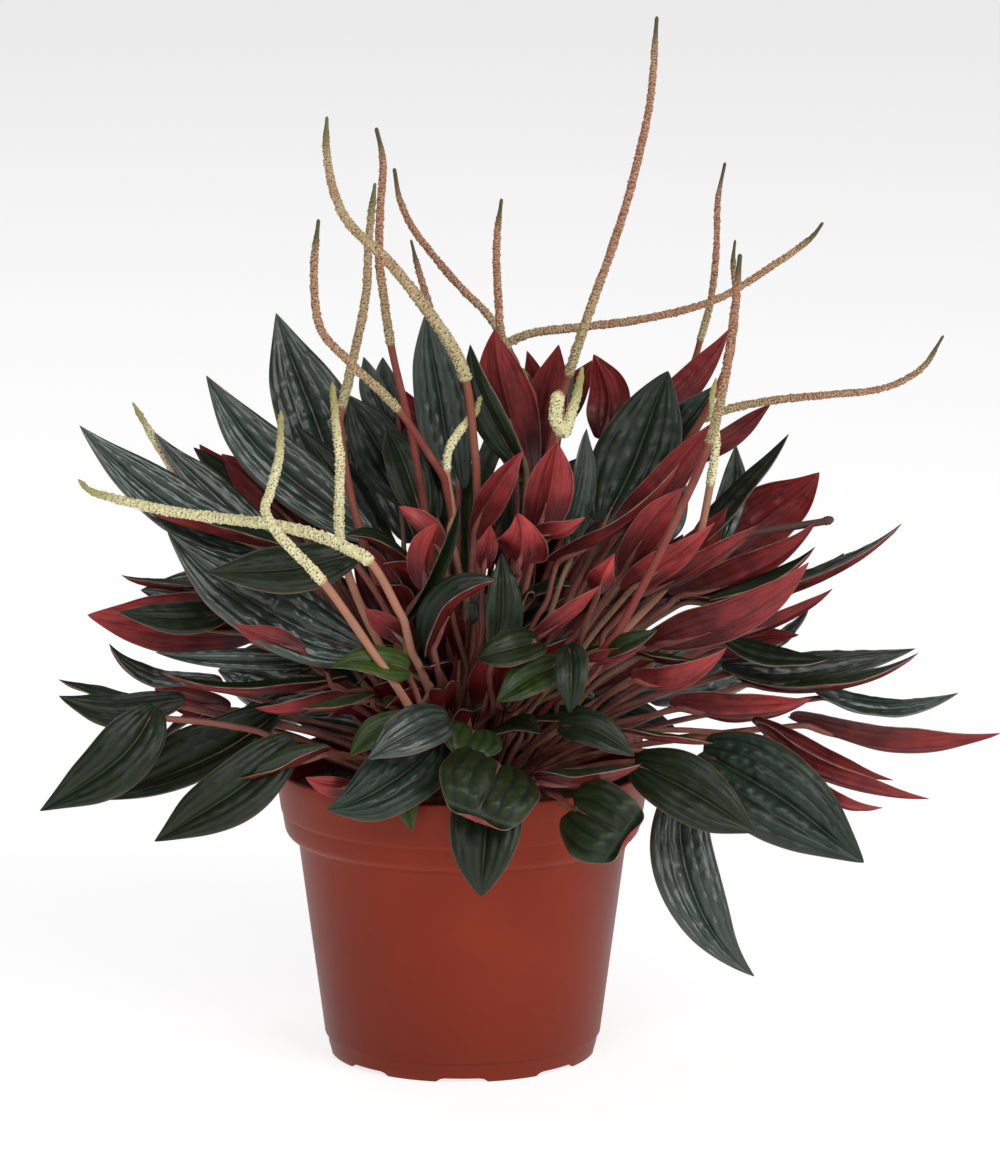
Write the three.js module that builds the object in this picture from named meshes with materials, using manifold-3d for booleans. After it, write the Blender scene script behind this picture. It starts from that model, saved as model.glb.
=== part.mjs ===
// A peperomia in a plastic nursery pot: the pot, its soil, the crown of the plant, its larger leaves and
// its long flower spikes. Millimetres, +Z up, the origin on the table at the middle of the pot's base.
import * as THREE from 'three';
import { mergeVertices } from 'three/addons/utils/BufferGeometryUtils.js';
import Module from 'manifold-3d';

const wasm = await Module();
wasm.setup();

// ---------------------------------------------------------------- the pot and what fills it

const POT_HEIGHT = 94;
const RIM_RADIUS = 60;
const WALL = 1.2;
const COLLAR_FOOT_RADIUS = 56.8;
const COLLAR_FOOT_HEIGHT = 73.5;
const COLLAR_CORNER = 0.4;
const COLLAR_STEPS = 2;
const BODY_TOP_RADIUS = 52.6;
const BODY_TOP_HEIGHT = 69.3;
const BODY_FOOT_RADIUS = 44.2;
const BODY_FOOT_HEIGHT = 6.4;
const FOOT_RADIUS = 42.5;
const FOOT_TOP_RADIUS = 43.4;
const FOOT_STEP = 0.3;
const FOOT_SLOPE = 0.6;
const BASE_LIFT = 2;
const PAD_RADIUS = 11;
const PAD_SLOPE = 1.6;
const PAD_WALL = 0.6;
const NOTCHES = 8;
const NOTCH_HEIGHT = 1.2;
const NOTCH_ARC_STEPS = 3;
const DRAIN_HOLES = 6;
const DRAIN_HOLE_RADIUS = 3.2;
const DRAIN_HOLE_CIRCLE = 27;
const DRAIN_HOLE_SIDES = 12;
const CUT_MARGIN = 1;
const ROUND_SIDES = 32;

// what touches in the real pot keeps a small gap here
const GAP = 0.3;
const SIDE_GAP = 0.4;
const SOIL_TOP = 86;
const SOIL_FALL = 2.5;
const SOIL_EDGE_INSET = 2;
const CROWN_GAP = 0.5;
const CROWN_RADIUS = 26;
const CROWN_EDGE = 0.6;
const CROWN_HEIGHT = 9;
const CROWN_RINGS = 4;

// ---------------------------------------------------------------- how the plant is described

// A point of the plant is written [x, z, y]. x and z are where it is seen from EYE on the upright plane
// through the pot's axis, and y is its depth, which grows away from EYE.
const EYE = new THREE.Vector3(12, -2200, 604);

const BLADE_THICKNESS = 0.9;
const BLADE_HEEL = 0.1;
// where the blade is cut across, along its midrib, and how much of its half width it has there
const BLADE_SECTIONS = [[-1, 0.08], [0.04, 0.76], [0.26, 1], [0.56, 0.86], [0.84, 0.42], [1, 0.04]];
const BLADE_SHOULDER = 0.55;
const EDGE_THINNING = 1 / 3;
const STALK_RADIUS = 1.2;
const STALK_SIDES = 4;
const STALK_STEPS = 7;
const SPIKE_SIDES = 5;
const SPIKE_RADIUS = 1.75;
const SPIKE_TIP_RADIUS = 0.8;
const SPIKE_TIP_GROWTH = 2.2;
const SPIKE_STEP_LENGTH = 15;
const SPIKE_EXTRA_STEPS = 4;
const CURVE_DIVISIONS = 600;

// A stalk leaves the crown at ROOT_SPAN of its radius, nearer the middle the steeper the stalk rises. It
// starts steeper than the crown's own surface, and STALK_RISE and STALK_ARRIVE shape its first curve.
const ROOT_SPAN = { least: 0.15, gain: 0.9, most: 0.94, limit: 0.95 };
const ROOT_ROOM = 5.1;
const ROOT_STEEPNESS = 2;
const STALK_LIFT = 0.55;
const STALK_RISE = 0.4;
const STALK_ARRIVE = 0.3;
const OUTWARD_SHARE = 0.5;

// The stalks make room for one another: knots of two stalks keep STALK_ROOM apart, and knots keep
// BLADE_ROOM from the marks on other leaves' blades and other spikes' flowers.
const KNOTS = 22;
const FIXED_KNOTS = 2;
const STALK_ROOM = 3.7;
const BLADE_ROOM = 5;
const ROUNDS = 120;
const SMOOTHING = 0.15;
const RIM_CLEARANCE = 2.5;
const RIM_ZONE = { inside: 6, outside: 5 };
const MARK_STATIONS = [-0.6, 0.1, 0.22, 0.34, 0.46, 0.58, 0.7, 0.82, 0.94];
const MARKS_ACROSS = [-0.9, -0.45, 0, 0.45, 0.9];
const MARK_TAPER = 1.9;
const MARK_SPACING = 4;

// name, neck, mid and tip of the midrib, width, turn about the midrib in degrees (0 shows the upper face,
// 180 the underside) and fold, the angle each half is raised by
const LEAVES = [
  // left
  ['leaf_left_peak', [-38, 178, 36], [-50, 209, 48], [-58.5, 239, 52], 24, 0, 14],
  ['leaf_left_high', [-35, 171, 14], [-60, 195, 20], [-80.5, 219, 18], 20, 10, 20],
  ['leaf_left_high_red', [-44, 160, 24], [-66, 180, 32], [-83, 197, 34], 21, 165, 12],
  ['leaf_left_long', [-64, 164, 6], [-92, 183, 4], [-120.5, 203, 2], 19, 25, 20],
  ['leaf_left_broad', [-37, 132, -14], [-66, 147, -14], [-93.5, 169, -12], 27, 30, 10],
  ['leaf_left_pale_edge', [-37, 161, -30], [-59, 156.5, -36], [-81, 156, -36], 17, 25, 10],
  ['leaf_left_red', [-70, 137, 4], [-94, 138.5, 2], [-119, 142, 0], 23, 145, 15],
  ['leaf_left_narrow', [-80, 119, 14], [-99, 122.5, 16], [-112.5, 132.5, 16], 14, 60, 30],
  ['leaf_left_far', [-92, 113, 2], [-111, 111.5, 2], [-128.5, 115.5, 0], 17, 45, 15],
  ['leaf_left_drooping', [-99, 110, -22], [-117, 93, -28], [-135, 78, -26], 23, 0, 12],
  ['leaf_left_dark', [-64, 107, -8], [-90, 94, -10], [-114, 83, -8], 19, 20, 25],
  ['leaf_left_low', [-57, 98, -44], [-79, 84, -52], [-98.5, 68, -50], 20, 5, 15],
  // front
  ['leaf_front_small', [-6, 108, -64], [-17, 103.5, -75], [-30, 95, -80], 16, 20, 10],
  ['leaf_front_puckered', [-10, 99, -54], [-24, 86, -68], [-43, 78.5, -74], 22, 0, 10],
  ['leaf_front_heart', [12.5, 94, -60], [8, 84, -78], [3, 72, -86], 32, 0, 5],
  ['leaf_front_hanging', [8, 87, -55], [7, 69, -69], [6, 50, -71], 23, 0, 12],
  ['leaf_front_right_heart', [37, 79, -68], [47, 74, -80], [58, 66, -82], 24, 0, 5],
  ['leaf_front_right', [58, 92, -46], [76, 82, -56], [93.5, 71, -58], 21, 0, 12],
  // right
  ['leaf_right_broad', [81, 95, -20], [104, 82, -30], [128.5, 61, -34], 30, -5, 10],
  ['leaf_right_hanging', [71, 84, -28], [74, 52, -40], [93.5, 23.5, -42], 21, -5, 15],
  ['leaf_right_far', [112, 107, 0], [142, 101, 2], [171.5, 103.5, 0], 17, -120, 20],
  ['leaf_right_twisted', [116, 115.5, 20], [137, 112, 26], [158, 116.5, 24], 15, -65, 15],
  ['leaf_right_red_boat', [70, 112, -8], [92, 109.5, -12], [111, 115, -12], 16, -130, 25],
  ['leaf_right_level', [88, 124, 10], [115, 123.5, 14], [144, 131, 10], 18, -55, 15],
  ['leaf_right_long', [72, 147, 12], [108, 153, 14], [139, 172, 8], 18, -75, 25],
  ['leaf_right_red_middle', [63, 133, -24], [88, 140, -30], [110, 159, -26], 18, -140, 15],
  ['leaf_right_red_high', [78, 157, 24], [97, 173, 30], [113, 188, 28], 23, -160, 12],
  ['leaf_right_red_peak', [48, 200, 34], [67, 217, 40], [84, 235, 40], 17, -150, 15],
  // the middle
  ['leaf_top_tall', [-2, 188, 14], [-8, 214, 16], [-11, 240, 12], 18, 0, 15],
  ['leaf_top_red', [20, 190, 2], [13, 214, 2], [10.5, 234, -2], 18, 180, 15],
  ['leaf_top_broad', [46, 176, 2], [56, 199, 8], [65, 220.5, 8], 30, 0, 8],
  ['leaf_middle_red', [24, 168, -22], [28, 184, -24], [30, 197.5, -20], 18, 180, 12],
  ['leaf_middle_green', [-9, 133, -40], [0, 146, -48], [11, 153.5, -46], 17, 20, 15],
  ['leaf_front_bright', [30, 126, -44], [20, 120, -56], [11, 114, -60], 13, 15, 15],
  ['leaf_top_red_bent', [44, 201, 20], [46, 214, 24], [41.5, 226, 20], 16, 180, 10],
  // the far side
  ['leaf_back_left', [-58, 136, 44], [-80, 146, 62], [-102, 150, 74], 25, 25, 12],
  ['leaf_back_left_low', [-44, 112, 70], [-62, 121, 94], [-78, 124, 112], 26, 10, 12],
  ['leaf_back_tall', [-14, 170, 50], [-20, 190, 68], [-26, 206, 78], 26, 0, 12],
  ['leaf_back_middle', [-6, 132, 76], [-10, 148, 100], [-12, 152, 126], 28, 0, 12],
  ['leaf_back_low', [22, 108, 76], [32, 118, 100], [38, 120, 122], 26, 0, 12],
  ['leaf_back_right', [34, 150, 56], [50, 168, 74], [62, 176, 86], 26, 0, 12],
  ['leaf_back_right_low', [62, 118, 58], [84, 128, 76], [102, 130, 90], 26, -10, 12],
];

// name, the flowering part from its tip down, and where its bare stalk is next seen
const SPIKES = [
  ['spike_tallest', [[61.5, 335, 24], [58, 301, 24], [51, 271, 20], [43, 248, 14], [36.5, 232, 12],
    [33.5, 219, 12]], []],
  ['spike_left_bent', [[-42, 301.5, -44], [-43, 289, -42], [-39, 273, -36], [-28, 262, -28],
    [-18, 253, -22], [-4, 232, -14], [0.5, 218, -12]], [[4, 195, -12]]],
  ['spike_left_straight', [[-27, 298, -10], [-24.5, 288, -10], [-26, 265, -8], [-24, 242, -6],
    [-22, 229, -4]], [[-17, 205, -4]]],
  ['spike_left_behind', [[-27.5, 281, 34], [-30, 262, 30], [-31, 243, 24], [-34.5, 226, 16],
    [-38, 208, 8]], []],
  ['spike_left_outer', [[-45, 269, -40], [-46.5, 252, -38], [-44.5, 234, -32], [-36, 224, -26],
    [-20, 208, -20]], [[-8, 190, -16]]],
  ['spike_slanting', [[-21.5, 285, 44], [-17.5, 268, 40], [-4, 252, 32], [10, 234, 24], [16, 222, 20]], []],
  ['spike_middle', [[12.5, 275.5, -6], [11, 262, -2], [11.5, 243, 4], [13.5, 227, 8], [20, 217, 10]], []],
  ['spike_right_level', [[113.5, 268, 58], [100, 255, 56], [78, 241.5, 50], [50, 234.5, 40], [24, 232, 30],
    [12, 222, 30]], []],
  ['spike_right_back', [[82.5, 287, 84], [80, 268, 80], [78.5, 246, 72], [75, 230, 64]], []],
  ['spike_right_upright', [[87.5, 258, -14], [85.5, 236, -16], [82, 213, -20], [78, 197, -24]],
    [[64, 165, -38], [51, 139, -38]]],
  ['spike_right_low', [[152, 232, 24], [144, 221, 26], [128, 215, 26], [99, 212, 26], [78, 208, 26]], []],
  ['spike_left_level', [[-122, 186, -12], [-114, 181, -14], [-80, 174.5, -26], [-54, 171.5, -40],
    [-37, 165.5, -46], [-29, 159, -48]], [[-20, 143, -46]]],
  ['spike_left_crossing', [[-57.5, 208, -30], [-58.5, 193, -34], [-63, 178, -42], [-58, 168, -48],
    [-45, 153, -54]], [[-28, 127, -54]]],
  ['spike_left_short', [[-41, 217, -20], [-39, 197, -20], [-38, 178, -24], [-39, 166, -26]], []],
  ['spike_left_small', [[-104, 210.5, 20], [-98, 200, 20], [-91, 188, 20]], []],
];

// ---------------------------------------------------------------- points, frames and solids

function place([x, z, y]) {
  const onPlane = new THREE.Vector3(x, 0, z);
  const slide = (y - EYE.y) / (0 - EYE.y);
  return EYE.clone().add(onPlane.sub(EYE).multiplyScalar(slide));
}

// a closed solid through rings of points, each ring counted the same way round as its direction of travel
function loft(rings) {
  const sides = rings[0].length;
  const points = rings.flat();
  const faces = [];
  for (let start = 0; start + sides < points.length; start += sides) {
    for (let j = 0; j < sides; j++) {
      const a = start + j;
      const b = start + (j + 1) % sides;
      faces.push(a, b, b + sides);
      faces.push(a, b + sides, a + sides);
    }
  }
  const last = points.length - sides;
  for (let j = 1; j + 1 < sides; j++) {
    faces.push(0, j + 1, j);
    faces.push(last, last + j, last + j + 1);
  }
  const geometry = new THREE.BufferGeometry().setFromPoints(points);
  geometry.setIndex(faces);
  return geometry;
}

function tube(curve, steps, sides, radiusAt) {
  const frames = curve.computeFrenetFrames(steps, false);
  const rings = [];
  for (let i = 0; i <= steps; i++) {
    const centre = curve.getPointAt(i / steps);
    const radius = radiusAt(i / steps);
    const ring = [];
    for (let j = 0; j < sides; j++) {
      const angle = j / sides * 2 * Math.PI;
      const spoke = frames.normals[i].clone().multiplyScalar(Math.cos(angle));
      spoke.addScaledVector(frames.binormals[i], Math.sin(angle));
      ring.push(centre.clone().addScaledVector(spoke, radius));
    }
    rings.push(ring);
  }
  return loft(rings);
}

const MERGE_DISTANCE = 1e-5;

function toSolid(geometry) {
  const bare = geometry.clone();
  bare.deleteAttribute('normal');
  bare.deleteAttribute('uv');
  const merged = mergeVertices(bare, MERGE_DISTANCE);
  const vertProperties = new Float32Array(merged.attributes.position.array);
  const triVerts = new Uint32Array(merged.index.array);
  return new wasm.Manifold(new wasm.Mesh({ numProp: 3, vertProperties, triVerts }));
}

function toGeometry(solid) {
  const mesh = solid.getMesh();
  const geometry = new THREE.BufferGeometry();
  geometry.setAttribute('position', new THREE.BufferAttribute(mesh.vertProperties, 3));
  geometry.setIndex(new THREE.BufferAttribute(mesh.triVerts, 1));
  geometry.computeVertexNormals();
  return geometry;
}

function revolve(profile) {
  const points = profile.map(([r, z]) => new THREE.Vector2(r, z));
  const geometry = new THREE.LatheGeometry(points, ROUND_SIDES);
  return toSolid(geometry.rotateX(Math.PI / 2));
}

// ---------------------------------------------------------------- pot, soil and crown

// the rounding under the collar, moved inwards by `inset`
function collarRounding(inset) {
  const curve = new THREE.QuadraticBezierCurve(
    new THREE.Vector2(BODY_TOP_RADIUS - inset, BODY_TOP_HEIGHT + inset),
    new THREE.Vector2(COLLAR_FOOT_RADIUS - COLLAR_CORNER - inset, BODY_TOP_HEIGHT + inset),
    new THREE.Vector2(COLLAR_FOOT_RADIUS - inset, COLLAR_FOOT_HEIGHT + inset / 2),
  );
  return curve.getPoints(COLLAR_STEPS).map((point) => [point.x, point.y]);
}

function footNotch(angle) {
  const halfWidth = Math.PI / NOTCHES / 2;
  const shape = new THREE.Shape();
  shape.absarc(0, 0, FOOT_TOP_RADIUS + CUT_MARGIN, angle - halfWidth, angle + halfWidth, false);
  shape.absarc(0, 0, FOOT_RADIUS - WALL - CUT_MARGIN, angle + halfWidth, angle - halfWidth, true);
  const geometry = new THREE.ExtrudeGeometry(shape, {
    depth: NOTCH_HEIGHT + CUT_MARGIN,
    bevelEnabled: false,
    curveSegments: NOTCH_ARC_STEPS,
  });
  return toSolid(geometry.translate(0, 0, -CUT_MARGIN));
}

function drainHole(angle) {
  const length = WALL + 2 * CUT_MARGIN;
  const geometry = new THREE.CylinderGeometry(DRAIN_HOLE_RADIUS, DRAIN_HOLE_RADIUS, length, DRAIN_HOLE_SIDES);
  geometry.rotateX(Math.PI / 2);
  const x = DRAIN_HOLE_CIRCLE * Math.cos(angle);
  const y = DRAIN_HOLE_CIRCLE * Math.sin(angle);
  return toSolid(geometry.translate(x, y, BASE_LIFT + WALL / 2));
}

function pot() {
  const floorTop = BASE_LIFT + WALL;
  const underside = [
    [0, 0], [PAD_RADIUS, 0], [PAD_RADIUS + PAD_SLOPE, BASE_LIFT],
    [FOOT_RADIUS - WALL - FOOT_SLOPE, BASE_LIFT], [FOOT_RADIUS - WALL, 0], [FOOT_RADIUS, 0],
  ];
  const outside = [
    [FOOT_TOP_RADIUS, BODY_FOOT_HEIGHT - FOOT_STEP], [BODY_FOOT_RADIUS, BODY_FOOT_HEIGHT],
    ...collarRounding(0), [RIM_RADIUS, POT_HEIGHT],
  ];
  const inside = [
    [RIM_RADIUS - WALL, POT_HEIGHT], ...collarRounding(WALL).reverse(),
    [BODY_FOOT_RADIUS - WALL, BODY_FOOT_HEIGHT + WALL], [FOOT_TOP_RADIUS - WALL - FOOT_STEP, floorTop],
    [PAD_RADIUS + PAD_SLOPE + PAD_WALL, floorTop], [PAD_RADIUS + PAD_WALL, WALL], [0, WALL],
  ];
  let solid = revolve([...underside, ...outside, ...inside]);
  const front = -Math.PI / 2;
  for (let i = 0; i < NOTCHES; i++) {
    solid = solid.subtract(footNotch(front + i / NOTCHES * 2 * Math.PI));
  }
  for (let i = 0; i < DRAIN_HOLES; i++) {
    solid = solid.subtract(drainHole(front + (i + 0.5) / DRAIN_HOLES * 2 * Math.PI));
  }
  return toGeometry(solid);
}

function soilHeight(r) {
  return SOIL_TOP - SOIL_FALL * r / RIM_RADIUS;
}

function pottingSoil() {
  const floorTop = BASE_LIFT + WALL + GAP;
  const inset = WALL + SIDE_GAP;
  const rimRadius = RIM_RADIUS - inset - SOIL_EDGE_INSET;
  return toGeometry(revolve([
    [0, WALL + GAP], [PAD_RADIUS, WALL + GAP], [PAD_RADIUS + PAD_SLOPE + GAP, floorTop],
    [FOOT_TOP_RADIUS - inset - FOOT_STEP, floorTop], [BODY_FOOT_RADIUS - inset, BODY_FOOT_HEIGHT + inset],
    ...collarRounding(inset), [rimRadius, soilHeight(rimRadius)], [0, SOIL_TOP],
  ]));
}

const CROWN_SEAT = soilHeight(CROWN_RADIUS) + CROWN_GAP;

function crown() {
  const profile = [[0, SOIL_TOP + CROWN_GAP], [CROWN_RADIUS, CROWN_SEAT]];
  for (let i = 1; i <= CROWN_RINGS; i++) {
    const angle = i / CROWN_RINGS * Math.PI / 2;
    profile.push([CROWN_RADIUS * Math.cos(angle), CROWN_SEAT + CROWN_EDGE + CROWN_HEIGHT * Math.sin(angle)]);
  }
  return toGeometry(revolve(profile));
}

// ---------------------------------------------------------------- blades and flowers

function midrib(leaf) {
  const [neck, mid, tip] = [leaf.neck, leaf.mid, leaf.tip];
  const control = mid.clone().multiplyScalar(2).addScaledVector(neck, -0.5).addScaledVector(tip, -0.5);
  return new THREE.QuadraticBezierCurve3(neck, control, tip);
}

// the blade's direction, upper-face normal and width direction at a point of its midrib
function bladeFrame(leaf, rib, s) {
  const along = Math.max(s, 0);
  const tangent = rib.getTangent(along);
  const centre = rib.getPoint(along);
  if (s < 0) {
    centre.addScaledVector(tangent, s * BLADE_HEEL * leaf.length);
  }
  const toEye = EYE.clone().sub(centre);
  const facing = toEye.addScaledVector(tangent, -toEye.dot(tangent)).normalize();
  const normal = facing.applyAxisAngle(tangent, leaf.turn * Math.PI / 180);
  return { centre, tangent, normal, side: tangent.clone().cross(normal) };
}

// a point of the blade's upper face, u from -1 to 1 across it
function bladePoint(leaf, frame, halfWidth, u) {
  const raise = Math.sin(leaf.fold) * Math.abs(u) * halfWidth;
  const out = Math.cos(leaf.fold) * u * halfWidth;
  return frame.centre.clone().addScaledVector(frame.side, out).addScaledVector(frame.normal, raise);
}

function bladeSolid(leaf) {
  const rib = midrib(leaf);
  const rings = BLADE_SECTIONS.map(([s, share]) => {
    const frame = bladeFrame(leaf, rib, s);
    const half = share * leaf.width / 2;
    const thin = Math.min(BLADE_THICKNESS, half);
    const top = (u) => bladePoint(leaf, frame, half, u);
    const under = (u) => top(u).addScaledVector(frame.normal, -thin * (1 - EDGE_THINNING * Math.abs(u)));
    const [left, right] = [-BLADE_SHOULDER, BLADE_SHOULDER];
    return [under(0), under(left), top(-1), top(left), top(0), top(right), top(1), under(right)];
  });
  return toSolid(loft(rings));
}

function spikeCurve(points) {
  return new THREE.CatmullRomCurve3(points, false, 'centripetal');
}

// points that stalks of other pieces keep clear of
function bladeMarks(leaf) {
  const rib = midrib(leaf);
  const marks = [];
  for (const s of MARK_STATIONS) {
    const frame = bladeFrame(leaf, rib, s);
    const half = leaf.width / 2 * Math.min(1, MARK_TAPER * (1 - s));
    for (const u of MARKS_ACROSS) {
      marks.push(bladePoint(leaf, frame, half, u));
    }
  }
  return marks;
}

// ---------------------------------------------------------------- stalks

// where a stalk leaves the crown: towards what it carries, nearer the middle the steeper it rises
function firstRoot(plantPiece) {
  const top = plantPiece.neck;
  const reach = Math.hypot(top.x, top.y);
  const flatness = Math.atan2(reach, top.z - CROWN_SEAT) / (Math.PI / 2);
  const radius = CROWN_RADIUS * Math.min(ROOT_SPAN.most, ROOT_SPAN.least + ROOT_SPAN.gain * flatness);
  return new THREE.Vector2(top.x, top.y).multiplyScalar(radius / reach);
}

function spreadRoots(roots) {
  for (let round = 0; round < ROUNDS; round++) {
    for (const a of roots) {
      for (const b of roots) {
        const apart = a.distanceTo(b);
        if (a !== b && apart < ROOT_ROOM) {
          const push = a.clone().sub(b).multiplyScalar((ROOT_ROOM - apart) / apart / 2);
          a.add(push);
          b.sub(push);
        }
      }
      a.clampLength(0, ROOT_SPAN.limit * CROWN_RADIUS);
    }
  }
}

function crownPoint(root, above) {
  const sine = root.length() / CROWN_RADIUS;
  const rise = CROWN_HEIGHT * Math.sqrt(1 - sine * sine);
  const upward = ROOT_STEEPNESS * rise / CROWN_HEIGHT;
  const normal = new THREE.Vector3(root.x / CROWN_RADIUS, root.y / CROWN_RADIUS, upward).normalize();
  const point = new THREE.Vector3(root.x, root.y, CROWN_SEAT + CROWN_EDGE + rise);
  return { point: point.addScaledVector(normal, above), normal };
}

function firstKnots(plantPiece) {
  const { point, normal } = crownPoint(plantPiece.root, STALK_LIFT);
  const span = point.distanceTo(plantPiece.neck);
  const rise = point.clone().addScaledVector(normal, STALK_RISE * span);
  const arrive = plantPiece.neck.clone().addScaledVector(plantPiece.arrival, -STALK_ARRIVE * span);
  return new THREE.CubicBezierCurve3(point, rise, arrive, plantPiece.neck).getPoints(KNOTS - 1);
}

// moves a knot away from another point by `share` of what is missing, and that point by the rest
function pushApart(knot, other, room, share) {
  const apart = knot.distanceTo(other);
  if (apart < room && apart > 0) {
    const push = knot.clone().sub(other).multiplyScalar(share * (room - apart) / apart);
    knot.add(push);
    if (share < 1) {
      other.sub(push);
    }
  }
}

function clearRim(knot) {
  const r = Math.hypot(knot.x, knot.y);
  const lowest = POT_HEIGHT + RIM_CLEARANCE;
  if (r > RIM_RADIUS - RIM_ZONE.inside && r < RIM_RADIUS + RIM_ZONE.outside && knot.z < lowest) {
    knot.z = lowest;
  }
}

function freeKnots(piece) {
  return piece.knots.slice(FIXED_KNOTS, -FIXED_KNOTS);
}

function makeRoom(a, b) {
  for (const knot of freeKnots(a)) {
    if (b.index > a.index) {
      freeKnots(b).forEach((other) => pushApart(knot, other, STALK_ROOM, 0.5));
    }
    b.marks.forEach((mark) => pushApart(knot, mark, BLADE_ROOM, 1));
  }
}

function smooth(knots) {
  for (let i = FIXED_KNOTS; i < KNOTS - FIXED_KNOTS; i++) {
    const between = knots[i - 1].clone().add(knots[i + 1]).multiplyScalar(0.5);
    knots[i].lerp(between, SMOOTHING);
  }
}

function settleStalks(plant) {
  for (let round = 0; round < ROUNDS; round++) {
    for (const a of plant) {
      plant.filter((b) => b !== a).forEach((b) => makeRoom(a, b));
      freeKnots(a).forEach(clearRim);
      smooth(a.knots);
    }
  }
}

// ---------------------------------------------------------------- the plant

function leafPiece([name, neck, mid, tip, width, turn, fold]) {
  const leaf = { name, width, turn, fold: fold * Math.PI / 180 };
  leaf.neck = place(neck);
  leaf.mid = place(mid);
  leaf.tip = place(tip);
  leaf.length = leaf.neck.distanceTo(leaf.mid) + leaf.mid.distanceTo(leaf.tip);
  const outward = leaf.neck.clone().normalize();
  leaf.arrival = midrib(leaf).getTangent(0).lerp(outward, OUTWARD_SHARE).normalize();
  leaf.marks = bladeMarks(leaf);
  return leaf;
}

function spikePiece([name, flowers, stalk]) {
  const points = [...flowers, ...stalk].map(place);
  const neck = points.at(-1);
  const arrival = points.at(-2).clone().sub(neck).normalize();
  const flowerCurve = spikeCurve(points);
  const marks = flowerCurve.getSpacedPoints(Math.ceil(flowerCurve.getLength() / MARK_SPACING));
  return { name, neck, arrival, points, flowerCount: flowers.length, marks };
}

function leafSolid(leaf) {
  const stalk = tube(spikeCurve(leaf.knots), STALK_STEPS, STALK_SIDES, () => STALK_RADIUS);
  return bladeSolid(leaf).add(toSolid(stalk));
}

// the stalk widens into the flowering part, which narrows towards its tip
function spikeSolid(spike) {
  const curve = spikeCurve([...spike.knots, ...spike.points.slice(0, -1).reverse()]);
  curve.arcLengthDivisions = CURVE_DIVISIONS;
  const total = curve.getLength();
  const flowering = spikeCurve(spike.points.slice(0, spike.flowerCount)).getLength() / total;
  const steps = Math.round(total / SPIKE_STEP_LENGTH) + SPIKE_EXTRA_STEPS;
  return toSolid(tube(curve, steps, SPIKE_SIDES, (along) => {
    const fromTip = (1 - along) / flowering;
    const flowerRadius = Math.min(SPIKE_RADIUS, SPIKE_TIP_RADIUS + SPIKE_TIP_GROWTH * fromTip);
    return fromTip > 1 ? STALK_RADIUS : flowerRadius;
  }));
}

function growPlant() {
  const leaves = LEAVES.map(leafPiece);
  const spikes = SPIKES.map(spikePiece);
  const plant = [...leaves, ...spikes];
  plant.forEach((piece, index) => {
    piece.index = index;
    piece.root = firstRoot(piece);
  });
  spreadRoots(plant.map((piece) => piece.root));
  plant.forEach((piece) => {
    piece.knots = firstKnots(piece);
  });
  settleStalks(plant);
  return { leaves, spikes };
}

// ---------------------------------------------------------------- the object

const POT_PLASTIC = new THREE.MeshStandardMaterial({ color: 0x9c4a33, roughness: 0.55, metalness: 0 });
const PEAT = new THREE.MeshStandardMaterial({ color: 0x2b1d14, roughness: 1, metalness: 0 });
const CROWN_STEM = new THREE.MeshStandardMaterial({ color: 0x6b3a2c, roughness: 0.8, metalness: 0 });
const LEAF = new THREE.MeshStandardMaterial({ color: 0x2f4036, roughness: 0.45, metalness: 0 });
const SPIKE = new THREE.MeshStandardMaterial({ color: 0xb59a6a, roughness: 0.7, metalness: 0 });

const object = new THREE.Group();

function addPiece(name, geometry, material) {
  const mesh = new THREE.Mesh(geometry, material);
  mesh.name = name;
  object.add(mesh);
}

addPiece('pot', pot(), POT_PLASTIC);
addPiece('potting_soil', pottingSoil(), PEAT);
addPiece('crown', crown(), CROWN_STEM);
const { leaves, spikes } = growPlant();
for (const leaf of leaves) {
  addPiece(leaf.name, toGeometry(leafSolid(leaf)), LEAF);
}
for (const spike of spikes) {
  addPiece(spike.name, toGeometry(spikeSolid(spike)), SPIKE);
}

export default object;
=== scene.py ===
import math
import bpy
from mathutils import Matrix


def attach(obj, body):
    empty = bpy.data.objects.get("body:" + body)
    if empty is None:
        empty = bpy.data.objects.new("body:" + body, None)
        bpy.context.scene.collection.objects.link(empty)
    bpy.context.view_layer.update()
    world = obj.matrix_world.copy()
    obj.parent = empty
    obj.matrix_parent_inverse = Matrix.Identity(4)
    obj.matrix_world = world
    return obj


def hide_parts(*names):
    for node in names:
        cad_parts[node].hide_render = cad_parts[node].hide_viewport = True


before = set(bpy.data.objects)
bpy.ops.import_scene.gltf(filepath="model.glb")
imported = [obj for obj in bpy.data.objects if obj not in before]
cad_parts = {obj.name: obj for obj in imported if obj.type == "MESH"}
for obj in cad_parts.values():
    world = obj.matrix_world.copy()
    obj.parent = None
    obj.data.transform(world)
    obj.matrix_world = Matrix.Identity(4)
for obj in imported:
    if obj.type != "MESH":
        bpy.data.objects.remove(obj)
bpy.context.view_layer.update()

from types import SimpleNamespace

import bpy
import numpy as np
from mathutils import Vector, kdtree, noise

# A peperomia in a plastic nursery pot. All sizes below are in millimetres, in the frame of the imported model:
# X to the right, Y away from the camera, Z up, the origin on the floor at the middle of the pot's base.
MM = 0.001

# ---------------------------------------------------------------- pot, soil and crown

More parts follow.
